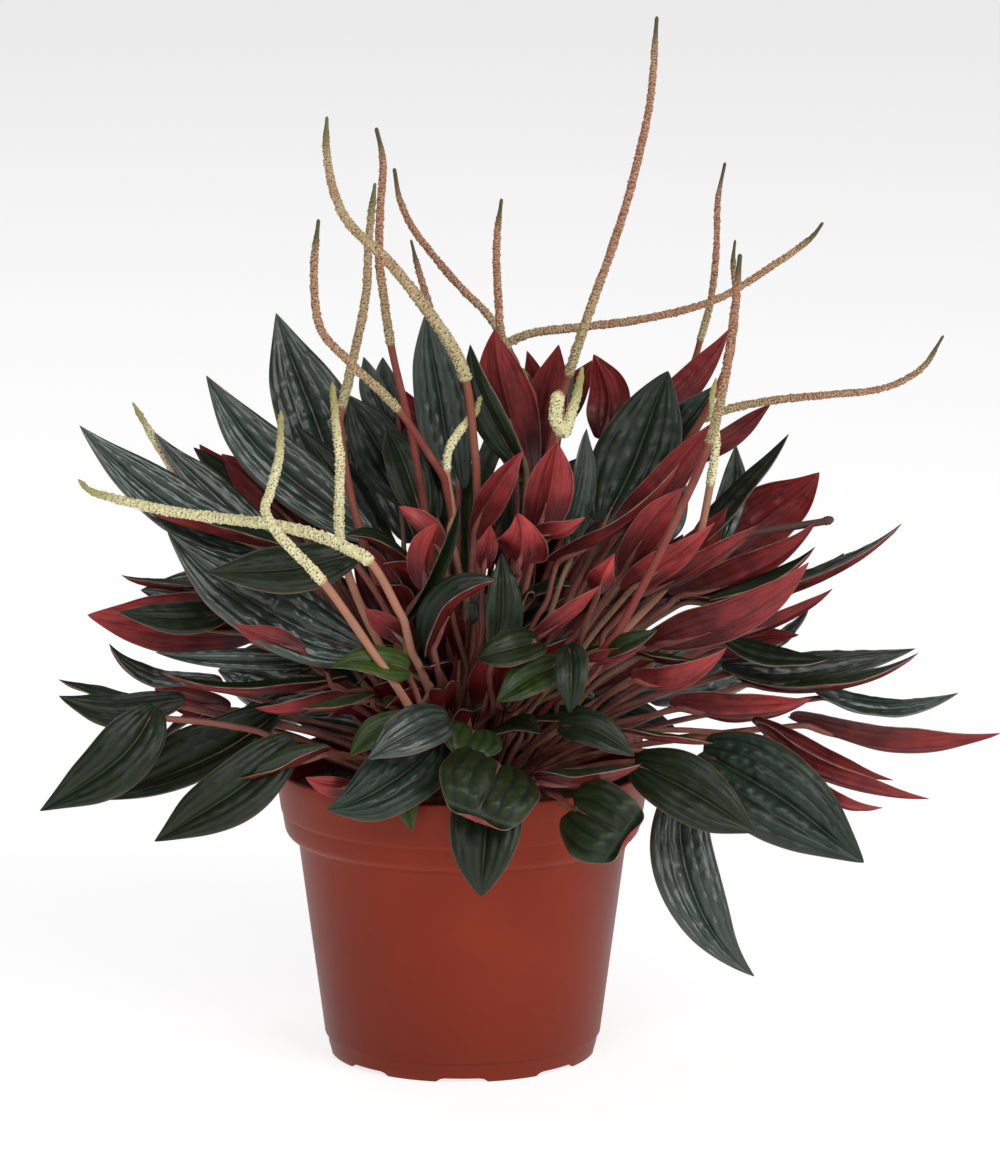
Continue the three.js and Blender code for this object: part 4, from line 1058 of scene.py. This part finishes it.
def make_soil():
    rng = np.random.default_rng(SOIL_SEED)
    inset = WALL + 0.4
    floor = BASE_LIFT + WALL + 0.3
    edge = RIM_RADIUS - inset - 1
    top = np.linspace(edge - 1, 2, 40)
    profile = [(3, WALL + 0.3), (PAD_RADIUS, WALL + 0.3), (PAD_RADIUS + PAD_SLOPE + 0.3, floor),
               (FOOT_TOP_RADIUS - inset - 0.5, floor), (BODY_FOOT_RADIUS - inset, BODY_FOOT_HEIGHT + inset),
               (BODY_TOP_RADIUS - inset, BODY_TOP_HEIGHT + inset),
               (COLLAR_FOOT_RADIUS - inset - 1, BODY_TOP_HEIGHT + inset + 1),
               (COLLAR_FOOT_RADIUS - inset, COLLAR_FOOT_HEIGHT + inset), (edge, soil_height(edge) - 1.6)]
    profile += [(r, soil_height(r)) for r in top]
    lowest = soil_height(edge) - 1
    rings = roughened(turned(profile, 128), 3.2, 1.3, SOIL_SEED, lambda point: point[2] > lowest)
    keep_inside(rings, edge)
    parts = [loft(rings, tone=0.3)]
    for _ in range(CRUMBS_AND_FIBRES):
        r = edge * math.sqrt(rng.uniform(0.08, 0.98))
        angle = rng.uniform(0, 2 * math.pi)
        centre = np.array([r * math.cos(angle), r * math.sin(angle), soil_height(r) + rng.uniform(-0.4, 0.5)])
        if rng.uniform() < CRUMB_SHARE:
            parts.append(crumb(rng, centre, rng.uniform(0.5, 1.5)))
        else:
            parts.append(fibre(rng, centre, rng.uniform(4, 9)))
    for part in parts:
        keep_inside(part.points, edge)
    make_object("peat", join(parts), [peat()], "potting_soil", "potting_soil")


def make_crown():
    """The low dome at the foot of the plant, and the short cut stems on it between the stalks."""
    rng = np.random.default_rng(CROWN_SEED)
    profile = [(2, SOIL_TOP - 1.2), (CROWN_RADIUS - 3, CROWN_SEAT - 1.5), (CROWN_RADIUS, CROWN_SEAT - 0.6)]
    for angle in np.radians(np.linspace(0, 86, 22)):
        height = CROWN_SEAT + CROWN_EDGE + CROWN_HEIGHT * math.sin(angle)
        profile.append((CROWN_RADIUS * math.cos(angle), height))
    rings = roughened(turned(profile, 96), 2.6, 1.4, CROWN_SEED)
    parts = [loft(rings, tone=0.2)]
    reach = SHORT_STEM_REACH * CROWN_RADIUS
    for _ in range(SHORT_STEMS):
        root = rng.uniform(-1, 1, 2) * reach
        if np.linalg.norm(root) > reach:
            continue
        foot, normal = crown_point(root, -1.5)
        height = rng.uniform(2.5, 5.5)
        line = foot + normal * np.linspace(0, height, 6)[:, None] + rng.normal(size=(6, 3)) * 0.12
        radii = rng.uniform(0.8, 1.5) * np.array([1.3, 1.1, 1, 0.95, 0.85, 0.5])
        parts.append(tube(line, radii, 8, tone=rng.uniform(0, 1)))
    make_object("short_stems", join(parts), [crown_bark()], "crown_stem", "crown")


# ---------------------------------------------------------------- materials

class Graph:
    """A material's shader and the nodes that feed it."""

    def __init__(self, name, **settings):
        self.material = bpy.data.materials.new(name)
        self.material.use_nodes = True
        self.tree = self.material.node_tree
        self.shader = self.tree.nodes["Principled BSDF"]
        for socket, value in settings.items():
            self.put(self.shader, socket.replace("_", " "), value)

    def put(self, node, socket, value):
        if isinstance(value, bpy.types.NodeSocket):
            self.tree.links.new(value, node.inputs[socket])
        else:
            node.inputs[socket].default_value = value

    def value(self, name):
        """A number that each point of the mesh carries."""
        node = self.tree.nodes.new("ShaderNodeAttribute")
        node.attribute_name = name
        return node.outputs["Fac"]

    def math(self, operation, a, b=0.0, c=0.0):
        node = self.tree.nodes.new("ShaderNodeMath")
        node.operation = operation
        for index, number in enumerate((a, b, c)):
            self.put(node, index, number)
        return node.outputs[0]

    def step(self, number, low, high, start=0.0, stop=1.0):
        """A smooth step of a number from low to high, between start and stop."""
        node = self.tree.nodes.new("ShaderNodeMapRange")
        node.interpolation_type = "SMOOTHSTEP"
        for socket, value in (("Value", number), ("From Min", low), ("From Max", high),
                              ("To Min", start), ("To Max", stop)):
            self.put(node, socket, value)
        return node.outputs[0]

    def mix(self, share, a, b):
        node = self.tree.nodes.new("ShaderNodeMix")
        node.data_type = "RGBA"
        self.put(node, 0, share)
        self.put(node, 6, a if isinstance(a, bpy.types.NodeSocket) else (*a, 1))
        self.put(node, 7, b if isinstance(b, bpy.types.NodeSocket) else (*b, 1))
        return node.outputs[2]

    def point(self, x, y, z):
        node = self.tree.nodes.new("ShaderNodeCombineXYZ")
        for index, number in enumerate((x, y, z)):
            self.put(node, index, number)
        return node.outputs[0]

    def place(self):
        """The place on the object, in metres."""
        return self.tree.nodes.new("ShaderNodeTexCoord").outputs["Object"]

    def height(self):
        """How high a point of the object is, in metres."""
        node = self.tree.nodes.new("ShaderNodeSeparateXYZ")
        self.put(node, "Vector", self.place())
        return node.outputs["Z"]

    def noise(self, where, scale, detail=3.0, roughness=0.55):
        node = self.tree.nodes.new("ShaderNodeTexNoise")
        for socket, value in (("Vector", where), ("Scale", scale),
                              ("Detail", detail), ("Roughness", roughness)):
            self.put(node, socket, value)
        return node.outputs["Fac"]

    def bump(self, height, distance, strength=1.0):
        """Bump of a height from 0 to 1 that stands for this many millimetres."""
        node = self.tree.nodes.new("ShaderNodeBump")
        self.put(node, "Strength", strength)
        self.put(node, "Distance", distance * MM)
        self.put(node, "Height", height)
        self.put(self.shader, "Normal", node.outputs[0])

    def set(self, socket, value):
        self.put(self.shader, socket, value)


def leaf_point(graph, along=1.0):
    """The place on the blade in millimetres, scaled lengthwise, and a number that differs by leaf."""
    map_y = graph.math("MULTIPLY", graph.value("map_y"), along)
    return graph.point(graph.value("map_x"), map_y, graph.math("MULTIPLY", graph.value("tone"), 50))


def upper_face(name, gloss):
    graph = Graph(name, Specular_IOR_Level=gloss)
    ridge, fresh = graph.value("ridge"), graph.value("fresh")
    edge = graph.math("ABSOLUTE", graph.value("across"))
    where = leaf_point(graph)
    grain = graph.noise(where, 1.6, 4)
    wrinkles = graph.noise(where, 0.5, 2)
    patches = graph.noise(where, 0.12, 2)
    # painted sheen: leaves less fresh than 0.24 get lighter, bluish-grey crests that stand in for the sheen of
    # the light on them; the same share lowers their roughness, which is real gloss
    painted_sheen_and_gloss = graph.step(fresh, 0.24, 0.0)
    youth = graph.step(fresh, 0.25, 1.0)
    # painted shade and sheen: the sunken veins take the dark groove colour and the quilted crests the lighter
    # crest colour, by the crest height (ridge) and random patches; crest also flecks the grain
    groove = graph.mix(youth, (0.002, 0.005, 0.003), (0.008, 0.022, 0.002))
    crest = graph.mix(painted_sheen_and_gloss, (0.008, 0.018, 0.003), (0.030, 0.056, 0.042))
    crest = graph.mix(youth, crest, (0.040, 0.078, 0.006))
    lift = graph.math("MULTIPLY_ADD", patches, 0.7, graph.math("MULTIPLY", ridge, 0.65))
    colour = graph.mix(graph.step(lift, 0.2, 1.05), groove, crest)
    colour = graph.mix(graph.step(grain, 0.35, 0.8, 0, 0.25), colour, crest)
    blush = graph.step(edge, 0.84, 1.0, 0, graph.step(patches, 0.45, 0.7, 0.05, 0.45))
    colour = graph.mix(blush, colour, (0.12, 0.045, 0.035))
    colour = graph.mix(graph.step(edge, 0.955, 0.99, 0, 0.4), colour, (0.17, 0.17, 0.10))
    colour = graph.mix(graph.step(edge, 0.05, 0.015, 0, 0.35), colour, (0.05, 0.06, 0.03))
    colour = graph.mix(graph.step(graph.value("joint"), 0.35, 0.85, 0, 0.8), colour, (0.30, 0.14, 0.08))
    graph.set("Base Color", colour)
    rough = graph.step(grain, 0.2, 0.8, 0.40, 0.50)
    graph.set("Roughness", graph.math("MULTIPLY_ADD", painted_sheen_and_gloss, -0.12, rough))
    graph.bump(graph.math("MULTIPLY_ADD", wrinkles, 1.2, grain), 0.08, 0.5)
    return graph.material


def under_face():
    graph = Graph("leaf_under_face", Specular_IOR_Level=0.3)
    fresh, along = graph.value("fresh"), graph.value("along")
    edge = graph.math("ABSOLUTE", graph.value("across"))
    where = leaf_point(graph)
    grain = graph.noise(where, 1.3, 4)
    patches = graph.noise(where, 0.1, 2)
    base_shade_and_streak_red = graph.mix(fresh, (0.035, 0.003, 0.003), (0.10, 0.006, 0.007))
    light = graph.mix(fresh, (0.19, 0.016, 0.017), (0.44, 0.044, 0.044))
    streaks = graph.noise(leaf_point(graph, 0.12), 0.9, 3)
    # painted shade: the underside is darker towards the base of the blade, near the shaded middle of the
    # plant, and lighter towards the tip, with random patches; the same dark red also draws the lengthwise
    # streaks
    reach = graph.math("MULTIPLY_ADD", along, 0.8, graph.math("MULTIPLY_ADD", patches, 0.8, -0.38))
    colour = graph.mix(graph.step(reach, 0.1, 0.7), base_shade_and_streak_red, light)
    side_vein = graph.math("ABSOLUTE", graph.math("SUBTRACT", edge, VEINS[1]))
    middle_vein = graph.step(edge, 0.06, 0.02, 0, 0.5)
    vein = graph.math("ADD", middle_vein, graph.step(side_vein, 0.05, 0.015, 0, 0.35))
    colour = graph.mix(vein, colour, graph.mix(fresh, (0.10, 0.022, 0.018), (0.22, 0.035, 0.03)))
    colour = graph.mix(graph.step(streaks, 0.45, 0.7, 0, 0.55), colour, base_shade_and_streak_red)
    colour = graph.mix(graph.step(grain, 0.45, 0.8, 0, 0.25), colour, (0.16, 0.03, 0.03))
    colour = graph.mix(graph.step(edge, 0.94, 0.99, 0, 0.5), colour, (0.38, 0.19, 0.15))
    graph.set("Base Color", colour)
    graph.set("Roughness", graph.step(streaks, 0.3, 0.7, 0.36, 0.52))
    graph.bump(graph.math("ADD", grain, streaks), 0.1, 0.4)
    return graph.material


def margin():
    graph = Graph("leaf_margin", Roughness=0.5)
    patches = graph.noise(leaf_point(graph), 0.2, 2)
    share = graph.step(patches, 0.35, 0.65)
    graph.set("Base Color", graph.mix(share, (0.20, 0.07, 0.055), (0.28, 0.25, 0.16)))
    return graph.material


def stalk_skin():
    graph = Graph("leaf_stalk", Specular_IOR_Level=0.3)
    along, tone = graph.value("along"), graph.value("tone")
    speckle = graph.noise(graph.place(), 900, 3)
    streaks = graph.noise(graph.place(), 160, 2)
    # painted shade: each stalk is darker low down by the crown, where it stands in shade, and lighter towards
    # its blade
    low = graph.mix(tone, (0.14, 0.055, 0.035), (0.09, 0.025, 0.018))
    high = graph.mix(tone, (0.27, 0.085, 0.065), (0.15, 0.028, 0.026))
    colour = graph.mix(along, low, high)
    colour = graph.mix(graph.step(tone, 0.72, 0.9, 0, 0.7), colour, (0.25, 0.19, 0.10))
    colour = graph.mix(graph.step(streaks, 0.35, 0.7, 0, 0.45), colour, (0.28, 0.13, 0.09))
    colour = graph.mix(graph.step(speckle, 0.55, 0.75, 0, 0.5), colour, (0.14, 0.02, 0.02))
    graph.set("Base Color", colour)
    graph.set("Roughness", graph.step(streaks, 0.3, 0.7, 0.38, 0.52))
    graph.bump(speckle, 0.08, 0.4)
    return graph.material


def spike_skin():
    graph = Graph("flower_spike_skin", Specular_IOR_Level=0.25)
    bump, along, tip, ripe = (graph.value(name) for name in ("bump", "along", "tip", "ripe"))
    flower = graph.value("flower")
    speckle = graph.noise(graph.place(), 1100, 3)
    patches = graph.noise(graph.place(), 110, 2)
    old = graph.step(ripe, 0.1, 0.6)
    # painted shade: cream and ripened spikes alike take a darker colour in the grooves between the florets
    # than on them
    groove = graph.mix(old, (0.66, 0.60, 0.30), (0.24, 0.19, 0.08))
    crest = graph.mix(old, (0.86, 0.80, 0.50), (0.52, 0.44, 0.24))
    pale = graph.mix(bump, groove, crest)
    ripened = graph.mix(bump, (0.17, 0.07, 0.04), (0.53, 0.27, 0.17))
    reach = graph.math("ADD", ripe, graph.math("MULTIPLY_ADD", patches, 0.5, -0.25))
    from_middle = graph.math("ABSOLUTE", graph.math("SUBTRACT", along, 0.6))
    share = graph.math("MULTIPLY", graph.step(from_middle, 0.62, 0.15), graph.step(reach, 0.1, 0.8))
    colour = graph.mix(share, pale, ripened)
    colour = graph.mix(graph.step(graph.value("anther"), 0.3, 0.55, 0, 0.9), colour, (0.07, 0.035, 0.015))
    colour = graph.mix(graph.step(speckle, 0.6, 0.72, 0, 0.3), colour, (0.20, 0.11, 0.05))
    green = graph.mix(old, (0.37, 0.34, 0.13), (0.085, 0.080, 0.035))
    colour = graph.mix(tip, colour, green)
    stem = graph.mix(old, (0.42, 0.19, 0.12), (0.21, 0.042, 0.032))
    stem = graph.mix(graph.step(patches, 0.4, 0.7, 0, 0.35), stem, (0.30, 0.14, 0.08))
    colour = graph.mix(flower, stem, colour)
    colour = graph.mix(graph.step(ripe, 1.0, 1.2), colour, (0.09, 0.045, 0.035))
    graph.set("Base Color", colour)
    graph.set("Roughness", graph.step(speckle, 0.3, 0.7, 0.5, 0.68))
    graph.bump(speckle, 0.1, 0.5)
    return graph.material


def pot_plastic():
    graph = Graph("terracotta_plastic", Specular_IOR_Level=0.18)
    clouds = graph.noise(graph.place(), 28, 3)
    grain = graph.noise(graph.place(), 2400, 2)
    scuffs = graph.noise(graph.place(), 240, 5, 0.7)
    colour = graph.mix(graph.step(clouds, 0.3, 0.7), (0.220, 0.022, 0.006), (0.245, 0.027, 0.008))
    colour = graph.mix(graph.step(scuffs, 0.62, 0.8, 0, 0.25), colour, (0.30, 0.055, 0.026))
    # painted shade: the wall is darkened towards the foot, from 70 mm down, standing in for the shade low on
    # the pot
    colour = graph.mix(graph.step(graph.height(), 0.07, 0, 0, 0.5), colour, (0.115, 0.012, 0.004))
    graph.set("Base Color", colour)
    graph.set("Roughness", graph.step(clouds, 0.3, 0.7, 0.40, 0.47))
    graph.bump(grain, 0.05, 0.35)
    return graph.material


def peat():
    graph = Graph("peat", IOR=1.3)
    tone = graph.value("tone")
    grain = graph.noise(graph.place(), 900, 5, 0.7)
    colour = graph.mix(tone, (0.022, 0.013, 0.008), (0.075, 0.042, 0.024))
    colour = graph.mix(graph.step(grain, 0.5, 0.75, 0, 0.6), colour, (0.11, 0.07, 0.045))
    graph.set("Base Color", colour)
    graph.set("Roughness", graph.step(grain, 0.3, 0.7, 0.85, 1.0))
    graph.bump(grain, 0.4, 0.8)
    return graph.material


def crown_bark():
    graph = Graph("crown_bark", IOR=1.4)
    tone = graph.value("tone")
    grain = graph.noise(graph.place(), 700, 4, 0.65)
    colour = graph.mix(tone, (0.11, 0.045, 0.03), (0.26, 0.09, 0.06))
    colour = graph.mix(graph.step(grain, 0.45, 0.7, 0, 0.6), colour, (0.07, 0.035, 0.02))
    graph.set("Base Color", colour)
    graph.set("Roughness", graph.step(grain, 0.3, 0.7, 0.6, 0.85))
    graph.bump(grain, 0.25, 0.7)
    return graph.material


# ---------------------------------------------------------------- the plant

def chance_leaf(name, rule, share, rng):
    """A leaf drawn within a rule, at that share of the rule's range of headings."""
    low, high = rule["heading"]
    heading = math.radians(low + (high - low) * share)
    swing = heading + math.radians(rng.uniform(-14, 14))
    neck_r, neck_z = (rng.uniform(*span) for span in rule["neck"])
    tip_r, tip_z = (rng.uniform(*span) for span in rule["tip"])
    neck = np.array([neck_r * math.cos(heading), neck_r * math.sin(heading), neck_z])
    tip = np.array([tip_r * math.cos(swing), tip_r * math.sin(swing), tip_z])
    mid = (neck + tip) / 2 + np.array([0, 0, rng.uniform(1.5, 5)])
    return make_leaf(name, neck, mid, tip, rng.uniform(*rule["width"]), rng.uniform(-28, 28),
                     rng.uniform(12, 26), rng.uniform(*rule["fresh"]), False)


def clearance(leaf, tree):
    """The least distance from a leaf's marks to the points of the tree."""
    return min(tree.find(mark)[2] for mark in leaf.marks)


def random_leaves(rng, standing):
    """Leaves placed by chance, each the freest of a few drawn. One with too little room is left out."""
    leaves = []
    for kind, rule in RANDOM_LEAVES.items():
        for i in range(rule["count"]):
            tree, _ = tree_of([piece.marks for piece in standing + leaves])
            shares = (i + rng.uniform(0.15, 0.85, DRAWS_PER_LEAF)) / rule["count"]
            drawn = [chance_leaf(f"{kind}_{i + 1}", rule, share, rng) for share in shares]
            freest = max(drawn, key=lambda leaf: clearance(leaf, tree))
            if clearance(freest, tree) > LEAF_ROOM:
                leaves.append(freest)
    return leaves


def make_plant():
    nodes = [seen_leaf(*row) for row in NODE_LEAVES] + [make_spike(*row) for row in NODE_SPIKES]
    grow(nodes, [], NODE_ROOM)
    small = [seen_leaf(f"leaf_small_{side}_{i + 1}", *row)
             for side, rows in SMALL_LEAVES.items() for i, row in enumerate(rows)]
    small += [make_spike(*row) for row in SMALL_SPIKES]
    small += random_leaves(np.random.default_rng(CHANCE_SEED), nodes + small)
    grow(small, nodes, SMALL_ROOM)
    rest_of_leaf = [under_face(), margin(), stalk_skin()]
    silvery = [upper_face("leaf_upper_face_silvery", SILVERY_GLOSS), *rest_of_leaf]
    dark = [upper_face("leaf_upper_face_dark", DARK_GLOSS), *rest_of_leaf]
    spike_materials = [spike_skin()]
    for seed, piece in enumerate(nodes + small):
        name = "grown_" + piece.name
        replaced = [piece.name] if seed < len(nodes) else []
        if hasattr(piece, "flower_count"):
            make_object(name, spike_part(piece, seed), spike_materials, "flower_spike", *replaced)
        else:
            leaf_materials = silvery if piece.fresh < SILVERY_BELOW else dark
            make_object(name, leaf_part(piece, seed), leaf_materials, "leaf", *replaced)


# ---------------------------------------------------------------- floor, light and camera

def make_floor():
    graph = Graph("pale_floor", Roughness=0.9)
    graph.set("Base Color", (0.45, 0.45, 0.45, 1))
    graph.set("Emission Color", (1, 1, 1, 1))
    graph.set("Emission Strength", FLOOR_GLOW)
    corners = np.array([(-1, -1), (1, -1), (1, 1), (-1, 1)]) * FLOOR_HALF_WIDTH
    part = loft(np.array([[(x, y, z) for x, y in corners] for z in (FLOOR_BOTTOM, FLOOR_TOP)]))
    mesh = bpy.data.meshes.new("floor")
    mesh.from_pydata((part.points * MM).tolist(), [], part.quads.tolist())
    mesh.materials.append(graph.material)
    floor = bpy.data.objects.new("floor", mesh)
    bpy.context.scene.collection.objects.link(floor)


def area_light(name, where, target, size, power):
    lamp = bpy.data.lights.new(name, "AREA")
    lamp.shape = "RECTANGLE"
    lamp.size, lamp.size_y = size
    lamp.energy = power
    light = bpy.data.objects.new(name, lamp)
    light.location = where
    light.rotation_euler = (Vector(target) - Vector(where)).to_track_quat("-Z", "Y").to_euler()
    bpy.context.scene.collection.objects.link(light)


def make_light():
    world = bpy.data.worlds.new("studio")
    world.use_nodes = True
    background = world.node_tree.nodes["Background"]
    background.inputs["Color"].default_value = (1, 1, 1, 1)
    background.inputs["Strength"].default_value = WORLD_STRENGTH
    bpy.context.scene.world = world
    for row in LIGHTS:
        area_light(*row)
    bpy.context.scene.view_settings.view_transform = "Standard"


def make_camera():
    data = bpy.data.cameras.new("camera")
    data.sensor_fit = "AUTO"
    data.sensor_width = CAMERA_SENSOR
    data.lens = CAMERA_LENS
    camera = bpy.data.objects.new("camera", data)
    camera.location = EYE * MM
    tilt_down = math.atan2(EYE[2] - CAMERA_AIM_HEIGHT, -EYE[1])
    camera.rotation_euler = (math.radians(90) - tilt_down, 0, 0)
    bpy.context.scene.collection.objects.link(camera)
    bpy.context.scene.camera = camera


make_camera()
make_light()
make_floor()
make_pot()
make_soil()
make_plant()
make_crown()
